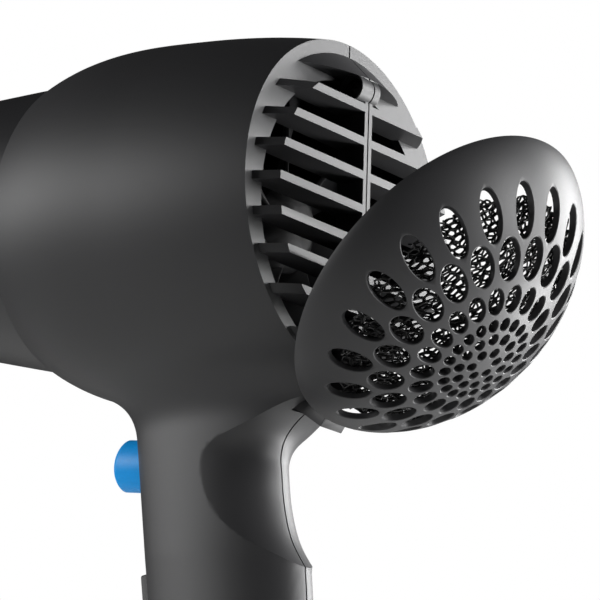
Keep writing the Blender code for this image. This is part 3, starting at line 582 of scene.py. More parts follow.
# ------------------------------------------------------------------ casing
@dataclass
class CasingShape:
    """Outer form of the housing and handle, as fields of distance that blend into each other.

    Lengths are metres from the barrel's axis and the ring's face.
    """

    waist_y: float = -0.041
    front_y: float = -0.081
    half_height: float = 0.0469
    half_width: float = 0.0457
    front_drop: float = 0.0059
    front_drop_width: float = 0.0047
    rear_drop: float = 0.0040
    rear_drop_width: float = 0.0043
    front_reach: float = 0.038
    rear_reach: float = 0.041
    ring_rise: float = 0.0034
    rise_start_y: float = -0.069
    lean: float = 0.28
    handle_front_y: float = -0.0697
    handle_back_y: float = 0.0023
    corner_z: float = -0.0857
    bottom_z: float = -0.175
    handle_half_width: float = 0.0137
    end_half_width: float = 0.0122
    taper: float = 0.0126
    blend: float = 0.010

    def section(self, y: np.ndarray) -> tuple[np.ndarray, np.ndarray, np.ndarray]:
        """Section of the housing at y.

        Args:
            y: distance behind the ring.

        Returns:
            Half width, half height and centre height.
        """
        ahead = np.clip((self.waist_y - y) / self.front_reach, 0.0, None) ** 3
        behind = np.clip((y - self.waist_y) / self.rear_reach, 0.0, None) ** 2.2
        wide = self.half_width - self.front_drop_width * ahead - self.rear_drop_width * behind
        high = self.half_height - self.front_drop * ahead - self.rear_drop * behind
        lift = np.clip((y - self.rise_start_y) / -self.rise_start_y, 0.0, None)
        return wide, high, self.ring_rise * lift ** 1.6

    def handle(self, z: np.ndarray) -> tuple[np.ndarray, np.ndarray, np.ndarray]:
        """Section of the handle at z.

        Args:
            z: height above the barrel's axis.

        Returns:
            Half width, half depth and centre depth.
        """
        drop = np.clip(self.corner_z - z, 0.0, None)
        share = drop / (self.corner_z - self.bottom_z)
        back = self.handle_back_y + self.lean * drop - self.taper * share ** 1.5
        back = back + 0.03 * np.clip(z - self.corner_z, 0.0, None)
        front = self.handle_front_y - self.lean * z
        wide = self.handle_half_width + (self.end_half_width - self.handle_half_width) * share
        return wide, (back - front) / 2.0, (back + front) / 2.0

    def distance(self, p: np.ndarray) -> np.ndarray:
        """Rough signed distance of points to the blended surface.

        Args:
            p: points, one to a row.

        Returns:
            One distance for each point.
        """
        wide, high, rise = self.section(p[:, 1])
        x, z = p[:, 0], p[:, 2] - rise
        body_scale = np.sqrt((x / wide) ** 2 + (z / high) ** 2)
        body_slope = np.sqrt((x / wide ** 2) ** 2 + (z / high ** 2) ** 2) / np.maximum(body_scale, 1e-6)
        body = (body_scale - 1.0) / np.maximum(body_slope, 1e-6)
        wide, deep, middle = self.handle(p[:, 2])
        y = p[:, 1] - middle
        grip_scale = np.sqrt((x / wide) ** 2 + (y / deep) ** 2)
        grip_slope = np.sqrt((x / wide ** 2) ** 2 + (y / deep ** 2) ** 2) / np.maximum(grip_scale, 1e-6)
        grip = np.maximum((grip_scale - 1.0) / np.maximum(grip_slope, 1e-6), p[:, 2] + 0.030)
        overlap = np.maximum(self.blend - np.abs(body - grip), 0.0) / self.blend
        fillet = overlap ** 2 * self.blend / 4.0
        fade = np.clip((-0.028 - p[:, 2]) / 0.012, 0.0, 1.0)
        return np.minimum(body, grip) - fillet * fade * (p[:, 2] < 0.0)

    def settle_on(self, p: np.ndarray) -> np.ndarray:
        """Move points along the field's slope until they lie on the surface.

        Args:
            p: points near the surface, one to a row.

        Returns:
            The moved points.
        """
        step = 1e-5
        for _ in range(6):
            here = self.distance(p)
            slope = np.empty_like(p)
            for axis in range(3):
                moved = p.copy()
                moved[:, axis] += step
                slope[:, axis] = (self.distance(moved) - here) / step
            size = np.maximum((slope ** 2).sum(1), 0.05)
            p = p - slope * np.clip(here / size, -0.002, 0.002)[:, None]
        return p


@dataclass
class Casing:
    """The two halves of the housing and handle, with their scoop, mouths and recesses."""

    shape: CasingShape = field(default_factory=CasingShape)
    wall: float = 0.0022
    voxel: float = 0.00115
    opening_half_width: float = 0.0348
    opening_half_height: float = 0.0363
    opening_rise: float = 0.0007
    mouth_radius: float = 0.0385
    # sizes of the hinge's solid block and of its pocket, from the ring's centre
    hinge_block_low: tuple[float, float, float] = (-0.0085, -0.0118, -0.0500)
    hinge_block_high: tuple[float, float, float] = (0.0085, 0.020, -0.0385)
    pocket_low: tuple[float, float, float] = (-0.0052, -0.0104, -0.0474)
    pocket_high: tuple[float, float, float] = (0.0052, 0.020, -0.0378)
    arm_room_low: tuple[float, float, float] = (-0.0052, 0.0, -0.0019)
    arm_room_high: tuple[float, float, float] = (0.0052, 0.020, 0.0040)
    bush_radius: float = 0.0055
    screw_well_radius: float = 0.0031
    screw_well_floor: float = 0.0022
    # back seam's depth, side edge's depth and height along the thumb scoop
    scoop_line: tuple[tuple[float, float, float], ...] = (
        (0.0090, 0.0030, -0.0405), (0.0010, -0.0040, -0.0440), (-0.0050, -0.0100, -0.0480),
        (-0.0090, -0.0170, -0.0532), (-0.0098, -0.0225, -0.0580), (-0.0088, -0.0240, -0.0625),
        (-0.0068, -0.0215, -0.0700), (-0.0037, -0.0165, -0.0775), (0.0004, -0.0105, -0.0832),
        (0.0082, 0.0020, -0.0915),
    )
    scoop_spread: float = 1.07

    def volume(self, inset: float, low_z: float, sides: int) -> list[bmesh.types.BMesh]:
        """Housing and handle as plain lofts, inset from the outer surface.

        Args:
            inset: how far inside the surface they lie.
            low_z: height of the handle's lower end.
            sides: points in each section.

        Returns:
            The housing and the handle.
        """
        rings = []
        for y in np.linspace(self.shape.front_y - 0.006, 0.012, 28):
            wide, high, rise = (float(v) for v in self.shape.section(np.array(y)))
            centre = RING_CENTRE + Vector((0, y, rise))
            rings.append(oval(centre, SIDE, UP, wide - inset, high - inset, sides))
        grip = []
        for z in np.linspace(low_z, -0.030, 40):
            wide, deep, middle = (float(v) for v in self.shape.handle(np.array(z)))
            centre = RING_CENTRE + Vector((0, middle, z))
            grip.append(oval(centre, SIDE, BACK, wide - inset, deep - inset, sides))
        return [loft(rings), loft(grip)]

    def skin(self) -> bpy.types.Object:
        """Outer form as one even mesh whose points lie on the blended surface.

        Returns:
            The closed, solid form.
        """
        body, grip = self.volume(0.0, self.shape.bottom_z - 0.006, 96)
        made = from_bmesh("casing_skin", body)
        combine(made, from_bmesh("casing_grip", grip), "UNION")
        step = made.modifiers.new("even", "REMESH")
        step.mode = "VOXEL"
        step.voxel_size = self.voxel
        settle(made)
        count = len(made.data.vertices)
        flat = np.empty(count * 3, np.float32)
        made.data.vertices.foreach_get("co", flat)
        points = flat.reshape(-1, 3).astype(float) - np.array(RING_CENTRE)
        points = self.shape.settle_on(points) + np.array(RING_CENTRE)
        made.data.vertices.foreach_set("co", points.astype(np.float32).ravel())
        made.data.update()
        bm = bmesh.new()
        bm.from_mesh(made.data)
        for point, normal in (
            (RING_CENTRE, RING_NORMAL),
            (RING_CENTRE + Vector((0, self.shape.front_y, 0)), Vector((0, -1, 0))),
            (RING_CENTRE + Vector((0, 0, self.shape.bottom_z)), Vector((0, 0, -1))),
        ):
            half_of(bm, point, normal)
        bmesh.ops.dissolve_degenerate(bm, dist=1e-5, edges=bm.edges)
        bm.to_mesh(made.data)
        bm.free()
        return made

    def scoop(self, inset: float, sides: int) -> bmesh.types.BMesh:
        """Volume behind the handle that the thumb scoop takes away.

        Args:
            inset: how far inside the outer surface it lies.
            sides: steps across the scoop.

        Returns:
            The volume.
        """
        line = np.array(self.scoop_line)
        crossing = math.sqrt(1.0 - 1.0 / self.scoop_spread ** 2)
        rings = []
        for mark in np.linspace(0.0, len(line) - 1.0, 46):
            near = min(int(mark), len(line) - 2)
            share = mark - near
            a, b = line[near], line[near + 1]
            slope_a = (b - line[max(near - 1, 0)]) / 2.0
            slope_b = (line[min(near + 2, len(line) - 1)] - a) / 2.0
            t2, t3 = share ** 2, share ** 3
            back, edge, z = ((2 * t3 - 3 * t2 + 1) * a + (t3 - 2 * t2 + share) * slope_a
                             + (3 * t2 - 2 * t3) * b + (t3 - t2) * slope_b)
            wide = float(self.shape.handle(np.array(z))[0]) + 0.008 * max(0.0, (z + 0.056) / 0.016) ** 2
            wide = wide * self.scoop_spread - inset
            reach = (back - edge) / (1.0 - crossing)
            centre = back - reach
            ring = []
            for i in range(sides + 1):
                turn = math.pi * i / sides
                ring.append(RING_CENTRE + Vector((wide * math.cos(turn),
                                                  centre + (reach - inset) * math.sin(turn), z)))
            for x, y in ((-0.035, centre), (-0.035, 0.05), (0.035, 0.05), (0.035, centre)):
                ring.append(RING_CENTRE + Vector((x, y, z)))
            rings.append(ring)
        return loft(rings)

    def recesses(self) -> list[bmesh.types.BMesh]:
        """Openings for the button, the cover's knuckle, the bush, the screws and the plate.

        Returns:
            The volumes to cut away.
        """
        opened = Matrix.Translation(HINGE) @ Matrix.Rotation(COVER_OPEN + LintCover.arm_lean, 4, "X")
        cuts = [
            CoolShotButton().prism(PLAY, 0.008),
            block(RING_CENTRE + Vector(self.pocket_low), RING_CENTRE + Vector(self.pocket_high)),
            placed(block(self.arm_room_low, self.arm_room_high), opened),
        ]
        low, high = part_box("cord_gland")
        middle = (low + high) / 2.0
        top = Vector((0, middle.y, high.z + 0.001))
        cuts.append(rod(Vector((0, middle.y, low.z)), top, self.bush_radius))
        for node in ("shell_screw_1", "shell_screw_2"):
            low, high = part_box(node)
            middle = (low + high) / 2.0
            floor = Vector((low.x + self.screw_well_floor, middle.y, middle.z))
            cuts.append(rod(Vector((-0.030, middle.y, middle.z)), floor, self.screw_well_radius, 24))
        cuts.append(SwitchPlate().body(PLAY, 0.004))
        return cuts

    def build(self) -> None:
        """Make both halves."""
        skin = self.skin()
        combine(skin, from_bmesh("scoop", self.scoop(0.0, 48)), "DIFFERENCE")
        body, grip = self.volume(self.wall, self.shape.bottom_z + self.wall, 64)
        hollow = from_bmesh("hollow", body)
        core = from_bmesh("core", grip)
        combine(core, from_bmesh("inner_scoop", self.scoop(self.wall, 24)), "DIFFERENCE")
        combine(hollow, core, "UNION")
        bm = bmesh.new()
        bm.from_mesh(hollow.data)
        half_of(bm, RING_CENTRE - RING_NORMAL * self.wall, RING_NORMAL)
        half_of(bm, RING_CENTRE + Vector((0, self.shape.front_y + 0.0035, 0)), Vector((0, -1, 0)))
        bm.to_mesh(hollow.data)
        bm.free()
        solid = block(RING_CENTRE + Vector(self.hinge_block_low), RING_CENTRE + Vector(self.hinge_block_high))
        combine(hollow, from_bmesh("hinge_block", solid), "DIFFERENCE")
        combine(skin, hollow, "DIFFERENCE")
        mouth = rod(RING_CENTRE + Vector((0, self.shape.front_y - 0.004, 0)),
                    RING_CENTRE + Vector((0, self.shape.front_y + 0.006, 0)), self.mouth_radius, 96)
        combine(skin, from_bmesh("mouth", mouth), "DIFFERENCE")
        opening = loft([oval(on_ring(0, self.opening_rise, depth), SIDE, RING_UP, self.opening_half_width,
                             self.opening_half_height, 120) for depth in (-0.006, 0.003)])
        combine(skin, from_bmesh("opening", opening), "DIFFERENCE")
        for bm in self.recesses():
            combine(skin, from_bmesh("recess", bm), "DIFFERENCE")
        for half in Half:
            bm = bmesh.new()
            bm.from_mesh(skin.data)
            outward = SIDE * -half.value
            half_of(bm, SIDE * (half.value * SEAM_GAP / 2.0), outward)
            bmesh.ops.dissolve_degenerate(bm, dist=2e-6, edges=bm.edges)
            name = half.name.lower() + "_casing"
            mesh = bpy.data.meshes.new(name)
            bm.to_mesh(mesh)
            bm.free()
            piece = smooth(add_object(name, mesh), 32.0)
            dress(piece, SOFT_SHELL, "shell", "casing", half.name.lower() + "_shell")
        bpy.data.objects.remove(skin, do_unlink=True)


@dataclass
class InletGrille:
    """Bars, rib, boss and solid ends that stand on the ring like a cut-off cone."""

    bar_count: int = 8
    pitch: float = 0.0087
    top_rise: float = 0.0296
    thickness: float = 0.0021
    root: float = 0.0015
    foot: float = 0.0003
    proud: float = 0.0064
    reach: float = 0.060
    bar_depth: float = 0.05
    end_height: float = 0.04
    rib_width: float = 0.0031
    base_half_width: float = 0.0388
    base_half_height: float = 0.0406
    base_rise: float = 0.0034
    top_half_width: float = 0.0358
    top_half_height: float = 0.0350
    face_rise: float = 0.0025
    boss_radius: float = 0.0035
    boss_rise: float = 0.0342
    boss_depth: float = 0.0045
    boss_left: float = 0.0050
    boss_right: float = 0.0026
    cup_floor: float = 0.0025
    cup_wall: float = 0.0006
    edge: float = 0.00055
    sides: int = 120

    def cone(self) -> bmesh.types.BMesh:
        """The cut-off cone, in the ring's own directions.

        Returns:
            The cone.
        """
        rings = []
        for depth in (-self.root, self.foot):
            rings.append(oval(BACK * depth + UP * self.base_rise, SIDE, UP, self.base_half_width,
                              self.base_half_height, self.sides))
        rings.append(oval(BACK * self.proud + UP * self.face_rise, SIDE, UP, self.top_half_width,
                          self.top_half_height, self.sides))
        return loft(rings)

    def tree(self, half: Half) -> ShapeGraph:
        """Tree that leaves bars, rib and ends of one half standing in the cone.

        Args:
            half: side of the seam.

        Returns:
            The tree, which works on the mesh of the cone.
        """
        g = ShapeGraph(half.name.lower() + "_bars", {
            "Side": half.value, "Count": self.bar_count, "Pitch": self.pitch, "Top Rise": self.top_rise,
            "Thickness": self.thickness, "Rib Width": self.rib_width, "Seam": SEAM_GAP, "Reach": self.reach,
        })
        half_seam = g.math("MULTIPLY", g.size("Seam"), 0.5)
        half_reach = g.math("MULTIPLY", g.size("Reach"), 0.5)
        offset = g.math("MULTIPLY", g.size("Side"), g.math("ADD", half_seam, half_reach))
        size = g.vector(g.size("Reach"), self.bar_depth, g.size("Thickness"))
        bar = g.first("GeometryNodeMeshCube", {"Size": size})
        step = g.math("MULTIPLY", g.size("Pitch"), -1.0)
        line = g.first("GeometryNodeMeshLine", {"Count": g.size("Count"),
                                                "Start Location": g.vector(offset, 0.0, g.size("Top Rise")),
                                                "Offset": g.vector(0.0, 0.0, step)})
        bars = g.first("GeometryNodeInstanceOnPoints", {"Points": line, "Instance": bar})
        bars = g.first("GeometryNodeRealizeInstances", {0: bars})
        rib_half = g.math("SUBTRACT", g.math("MULTIPLY", g.size("Rib Width"), 0.5), half_seam)
        size = g.vector(rib_half, self.bar_depth, 2.0 * self.reach)
        rib = g.first("GeometryNodeMeshCube", {"Size": size})
        rib_middle = g.math("ADD", half_seam, g.math("MULTIPLY", rib_half, 0.5))
        place = g.vector(g.math("MULTIPLY", g.size("Side"), rib_middle), 0.0, 0.0)
        rib = g.first("GeometryNodeTransform", {"Geometry": rib, "Translation": place})
        ends = []
        half_bar = g.math("MULTIPLY", g.size("Thickness"), 0.5)
        high = g.math("ADD", g.math("ADD", g.size("Top Rise"), g.size("Pitch")), self.end_height / 2.0)
        high = g.math("SUBTRACT", high, half_bar)
        low = g.math("SUBTRACT", g.size("Top Rise"), g.math("MULTIPLY", g.size("Pitch"), g.size("Count")))
        low = g.math("SUBTRACT", g.math("ADD", low, half_bar), self.end_height / 2.0)
        for centre in (high, low):
            size = g.vector(g.size("Reach"), self.bar_depth, self.end_height)
            end = g.first("GeometryNodeMeshCube", {"Size": size})
            place = g.vector(offset, 0.0, centre)
            ends.append(g.first("GeometryNodeTransform", {"Geometry": end, "Translation": place}))
        union = g.add("GeometryNodeMeshBoolean", operation="UNION", solver="EXACT")
        for shape in (bars, rib, *ends):
            g.tree.links.new(shape, union.inputs["Mesh 2"])
        cut = g.add("GeometryNodeMeshBoolean", operation="INTERSECT", solver="EXACT")
        g.tree.links.new(union.outputs[0], cut.inputs["Mesh 2"])
        g.tree.links.new(g.source.outputs[0], cut.inputs["Mesh 2"])
        g.close(cut.outputs[0])
        return g

    def boss(self, half: Half) -> bpy.types.Object:
        """Half of the screw boss; the left one is hollowed from its outer end.

        Args:
            half: side of the seam.

        Returns:
            The half boss.
        """
        reach = self.boss_left if half is Half.LEFT else self.boss_right
        start = on_ring(half.value * SEAM_GAP / 2.0, self.boss_rise, self.boss_depth)
        end = on_ring(half.value * reach, self.boss_rise, self.boss_depth)
        made = from_bmesh("boss", rod(start, end, self.boss_radius, 48))
        if half is Half.LEFT:
            floor = on_ring(self.cup_floor, self.boss_rise, self.boss_depth)
            beyond = on_ring(2.0 * reach, self.boss_rise, self.boss_depth)
            cup = rod(floor, beyond, self.boss_radius - self.cup_wall, 48)
            combine(made, from_bmesh("cup", cup), "DIFFERENCE")
        return made

    def build(self) -> None:
        """Make the grille of both halves."""
        for half in Half:
            base = bpy.data.meshes.new("cone")
            bm = self.cone()
            bmesh.ops.recalc_face_normals(bm, faces=bm.faces)
            bm.to_mesh(base)
            bm.free()
            mesh = self.tree(half).mesh(SOFT_SHELL.material(), base)
            mesh.transform(RING_PLACE)
            piece = add_object(half.name.lower() + "_grille", mesh)
            combine(piece, self.boss(half), "UNION")
            soften(piece, self.edge, 3)
            dress(smooth(piece), SOFT_SHELL, "shell", "casing", half.name.lower() + "_shell")


# ------------------------------------------------------------------ front end
@dataclass
class FrontBarrel:
    """Tapered outlet tube that slips into the housing."""

    rear_y: float = -0.0765
    front_y: float = -0.160
    rear_radius: float = 0.0382
    front_radius: float = 0.0280
    wall: float = 0.0018
    power: float = 1.08
    lip: float = 0.0006

    def radius(self, y: float) -> float:
        """Outer radius of the tube.

        Args:
            y: distance behind the ring.

        Returns:
            The radius.
        """
        share = (self.rear_y - y) / (self.rear_y - self.front_y)
        start = self.rear_radius + 0.0005
        return min(start - (start - self.front_radius) * share ** self.power, self.rear_radius)

    def build(self) -> None:
        """Turn the tube with a rounded front rim."""
        ys = np.linspace(self.rear_y, self.front_y + self.lip, 22)
        outer = [(y, self.radius(y)) for y in ys]
        tip = self.front_radius
        rim = [(self.front_y + self.lip * 0.3, tip - self.lip * 0.15), (self.front_y, tip - self.lip),
               (self.front_y, tip - self.wall + self.lip * 0.4),
               (self.front_y + self.lip * 0.5, tip - self.wall)]
        inner = [(y, self.radius(y) - self.wall) for y in ys[::-1][1:]]
        flange = [(self.rear_y + 0.002, inner[-1][1]), (self.rear_y + 0.002, self.rear_radius + 0.0010),
                  (self.rear_y, self.rear_radius + 0.0010)]
        piece = from_bmesh("front_tube", turned(outer + rim + inner + flange, 144))
        dress(smooth(piece), BARREL, "barrel", "casing", "front_barrel")


# ------------------------------------------------------------------ lint cover
@dataclass
class LintCover:
    """Domed cover with rings of slots, its knuckle, and the foam behind it.

    The dome is drawn as a flat disc, perforated there, and then wrapped to its shape. A row of rings
    is count, distance from the pole, half width, half length and turn in half pitches.
    """

    half_width: float = 0.0414
    half_height: float = 0.0432
    rise: float = 0.0034
    pole_y: float = 0.0258
    wall: float = 0.0018
    power: float = 0.68
    reach: float = 0.0433
    rings: tuple[tuple[int, float, float, float, float], ...] = (
        (6, 0.0038, 0.00132, 0.00140, 1.0),
        (12, 0.0076, 0.00140, 0.00150, 0.0),
        (20, 0.0114, 0.00138, 0.00160, 0.0),
        (20, 0.0174, 0.00230, 0.00310, 0.0),
        (20, 0.0260, 0.00330, 0.00430, 1.0),
        (20, 0.0346, 0.00305, 0.00465, 0.0),
    )
    ease: float = 0.00016
    foam_gap: float = 0.0006
    foam_thickness: float = 0.0035
    foam_reach: float = 0.868
    shut_gap: float = 0.00035
    arm_lean: float = math.radians(16.0)
    arm_half_width: float = 0.0044
    arm_length: float = 0.0132
    arm_half_thickness: float = 0.0015
    knuckle_half_width: float = 0.0048
    knuckle_radius: float = 0.0031
    bore_radius: float = 0.0017
    knuckle_edge: float = 0.0003
    dome_sides: int = 160
    dome_rings: int = 40
    slot_sides: int = 32
    # foam: half a strand, cells across each layer, and how far their corners stray
    strand: float = 0.00028
    cells: int = 35
    stray: float = 0.0150
    layers: int = 3

    def place(self) -> Matrix:
        """Matrix that opens the closed cover about its hinge."""
        return (Matrix.Translation(HINGE) @ Matrix.Rotation(COVER_OPEN, 4, "X")
                @ Matrix.Translation(-HINGE) @ Matrix.Translation(RING_CENTRE))

    def wrap(self, g: ShapeGraph, geometry: bpy.types.NodeSocket) -> bpy.types.NodeSocket:
        """Bend a flat disc of radius 1, whose depth runs down from 0, into the dome.

        Args:
            g: tree to write into.
            geometry: the flat disc.

        Returns:
            The domed geometry.
        """
        at = g.add("ShaderNodeSeparateXYZ", {0: g.first("GeometryNodeInputPosition")}).outputs
        flat = g.math("MAXIMUM", g.length(at[0], at[1]), 1e-6)
        share = g.math("SINE", g.math("MULTIPLY", g.math("MINIMUM", flat, 0.9999), math.pi / 2.0))
        u = g.math("DIVIDE", at[0], flat)
        v = g.math("DIVIDE", at[1], flat)
        inset = g.math("MULTIPLY", at[2], -1.0)
        rise = g.math("POWER", g.math("SUBTRACT", 1.0, g.math("MULTIPLY", share, share)), g.size("Power"))
        thin = g.math("SUBTRACT", 1.0, g.math("DIVIDE", inset, g.size("Half Height")))
        scale = g.math("MULTIPLY", share, thin)
        climb = g.math("ADD", g.size("Rise"), g.math("MULTIPLY", g.size("Half Height"), v))
        rim_y = g.math("MULTIPLY_ADD", climb, -math.sin(RING_TILT), self.shut_gap)
        rim_z = g.math("MULTIPLY", climb, math.cos(RING_TILT))
        x = g.math("MULTIPLY", g.math("MULTIPLY", g.size("Half Width"), u), scale)
        z = g.math("MULTIPLY", rim_z, scale)
        y = g.math("ADD", rim_y, g.math("MULTIPLY", g.math("SUBTRACT", g.size("Pole"), rim_y), rise))
        y = g.math("SUBTRACT", y, g.math("MULTIPLY", inset, rise))
        moved = g.add("GeometryNodeSetPosition", {"Geometry": geometry, "Position": g.vector(x, y, z)})
        return moved.outputs[0]

    def base_sizes(self) -> dict[str, float]:
        """Named sizes that every tree of the dome has."""
        return {"Half Width": self.half_width, "Half Height": self.half_height, "Rise": self.rise,
                "Pole": self.pole_y, "Power": self.power}

    def holes(self, g: ShapeGraph, ring: tuple[int, float, float, float, float],
              flared: bool) -> bpy.types.NodeSocket:
        """Cutters of one ring of slots in the flat disc.

        Args:
            g: tree to write into.
            ring: count, distance from the pole, half width, half length and half-pitch turn.
            flared: whether they ease the outer edge instead of passing through.

        Returns:
            The instances.
        """
        count, distance, wide, long, half_pitch = ring
        flat = 2.0 / math.pi * math.asin(distance / self.reach)
        stretch = self.reach * math.pi / 2.0 * math.cos(math.pi / 2.0 * flat)
        size = (long / stretch, wide / distance * flat, 1.0)
        if flared:
            ease = self.ease / wide
            shape = g.first("GeometryNodeMeshCone", {"Vertices": self.slot_sides, "Depth": 3.0 * self.ease,
                                                     "Radius Top": 1.0 + 2.0 * ease,
                                                     "Radius Bottom": 1.0 - ease})
            lift = -2.0 * self.ease
        else:
            shape = g.first("GeometryNodeMeshCylinder", {"Vertices": self.slot_sides, "Depth": 0.02,
                                                         "Radius": 1.0})
            lift = 0.0
        shape = g.first("GeometryNodeTransform", {"Geometry": shape, "Translation": (0.0, 0.0, lift),
                                                  "Scale": size})
        line = g.first("GeometryNodeMeshCircle", {"Vertices": count, "Radius": flat})
        line = g.first("GeometryNodeTransform", {"Geometry": line,
                                                 "Rotation": (0.0, 0.0, math.pi * half_pitch / count)})
        at = g.add("ShaderNodeSeparateXYZ", {0: g.first("GeometryNodeInputPosition")}).outputs
        heading = g.vector(0.0, 0.0, g.math("ARCTAN2", at[1], at[0]))
        return g.first("GeometryNodeInstanceOnPoints", {"Points": line, "Instance": shape,
                                                        "Rotation": heading})

    def dome(self) -> bpy.types.Mesh:
        """Perforated dome in its closed place.

        Returns:
            The mesh of the dome.
        """
        g = ShapeGraph("perforated_dome", {**self.base_sizes(), "Wall": self.wall})
        disc = g.first("GeometryNodeMeshCylinder", {"Vertices": self.dome_sides, "Side Segments": 1,
                                                    "Fill Segments": self.dome_rings, "Radius": 0.999,
                                                    "Depth": g.size("Wall")})
        sunk = g.vector(0.0, 0.0, g.math("MULTIPLY", g.size("Wall"), -0.5))
        cut = g.first("GeometryNodeTransform", {"Geometry": disc, "Translation": sunk})
        for flared in (False, True):
            tools = g.add("GeometryNodeJoinGeometry")
            for ring in self.rings:
                g.tree.links.new(self.holes(g, ring, flared), tools.inputs[0])
            real = g.first("GeometryNodeRealizeInstances", {0: tools.outputs[0]})
            step = g.add("GeometryNodeMeshBoolean", {"Mesh 1": cut}, operation="DIFFERENCE", solver="EXACT")
            g.tree.links.new(real, step.inputs["Mesh 2"])
            cut = step.outputs[0]
        g.close(self.wrap(g, cut))
        return g.mesh(COVER.material())

    def knuckle(self) -> bpy.types.Object:
        """Barrel and arm by which the cover hangs on its pin, in the closed place.

        Returns:
            The knuckle.
        """
        at = HINGE - RING_CENTRE
        half = SIDE * self.knuckle_half_width
        lug = from_bmesh("lug", rod(at - half, at + half, self.knuckle_radius, 40))
        arm = placed(block((-self.arm_half_width, -0.0005, -self.arm_half_thickness),
                           (self.arm_half_width, self.arm_length, self.arm_half_thickness)),
                     Matrix.Translation(at) @ Matrix.Rotation(self.arm_lean, 4, "X"))
        combine(lug, from_bmesh("arm", arm), "UNION")
        bore = rod(at - SIDE * 0.02, at + SIDE * 0.02, self.bore_radius, 28)
        combine(lug, from_bmesh("bore", bore), "DIFFERENCE")
        return soften(lug, self.knuckle_edge)

    def foam(self) -> bpy.types.Mesh:
        """Open-cell foam: layers of cells whose walls are thin strands.

        Returns:
            The mesh of the strands in the closed place.
        """
        g = ShapeGraph("open_cell_foam", {**self.base_sizes(), "Strand": self.strand,
                                          "Start": self.wall + self.foam_gap, "Depth": self.foam_thickness})
        strands = g.add("GeometryNodeJoinGeometry")
        flat_reach = 2.0 / math.pi * math.asin(self.foam_reach)
        side = 2.0 * flat_reach
        for layer in range(self.layers):
            grid = g.first("GeometryNodeMeshGrid", {"Size X": side, "Size Y": side, "Vertices X": self.cells,
                                                    "Vertices Y": self.cells})
            net = g.first("GeometryNodeTriangulate", {"Mesh": grid})
            stir = g.first("FunctionNodeRandomValue", {"Min": (-1.0, -1.0, -1.0), "Max": (1.0, 1.0, 1.0),
                                                       "Seed": 11 + layer}, data_type="FLOAT_VECTOR")
            jog = g.first("ShaderNodeVectorMath", {0: stir, 1: (self.stray, self.stray, 0.0)},
                          operation="MULTIPLY")
            net = g.first("GeometryNodeSetPosition", {"Geometry": net, "Offset": jog})
            net = g.first("GeometryNodeDualMesh", {0: net})
            at = g.add("ShaderNodeSeparateXYZ", {0: g.first("GeometryNodeInputPosition")}).outputs
            far = g.length(at[0], at[1])
            outside = g.math("GREATER_THAN", far, flat_reach)
            net = g.first("GeometryNodeDeleteGeometry", {"Geometry": net, "Selection": outside},
                          domain="POINT")
            sink = g.add("FunctionNodeRandomValue", {2: 0.0, 3: 1.0, "Seed": 31 + layer},
                         data_type="FLOAT").outputs[1]
            level = g.math("MULTIPLY", g.size("Depth"), (layer + 0.5) / self.layers)
            half_depth = g.math("MULTIPLY", g.size("Depth"), 0.5)
            swing = g.math("MULTIPLY", g.math("SUBTRACT", sink, 0.5), half_depth)
            down = g.math("MULTIPLY", g.math("ADD", g.size("Start"), g.math("ADD", level, swing)), -1.0)
            net = g.add("GeometryNodeSetPosition", {"Geometry": net, "Offset": g.vector(0.0, 0.0, down)})
            g.tree.links.new(net.outputs[0], strands.inputs[0])
        domed = self.wrap(g, strands.outputs[0])
        lines = g.first("GeometryNodeMeshToCurve", {0: domed})
        girth = g.add("FunctionNodeRandomValue", {2: 0.75, 3: 2.0, "Seed": 47}, data_type="FLOAT").outputs[1]
        lines = g.first("GeometryNodeSetCurveRadius", {"Curve": lines, "Radius": girth})
        profile = g.add("GeometryNodeCurvePrimitiveCircle", {"Resolution": 4, "Radius": g.size("Strand")})
        tubes = g.add("GeometryNodeCurveToMesh", {"Curve": lines, "Profile Curve": profile.outputs[0]})
        g.close(tubes.outputs[0])
        return g.mesh(FOAM.material())

    def build(self) -> None:
        """Make the open cover and its foam."""
        mesh = self.dome()
        bm = bmesh.new()
        bm.from_mesh(mesh)
        bmesh.ops.remove_doubles(bm, verts=bm.verts, dist=1e-6)
        bmesh.ops.recalc_face_normals(bm, faces=bm.faces)
        bm.to_mesh(mesh)
        bm.free()
        piece = add_object("lint_dome", mesh)
        combine(piece, self.knuckle(), "UNION")
        piece.data.transform(self.place())
        dress(smooth(piece, 28.0), COVER, "cover", "cover", "lint_cover")
        web = self.foam()
        web.transform(self.place())
        web.shade_smooth()
        piece = add_object("foam_web", web)
        dress(piece, FOAM, "foam", "cover", "foam_filter")


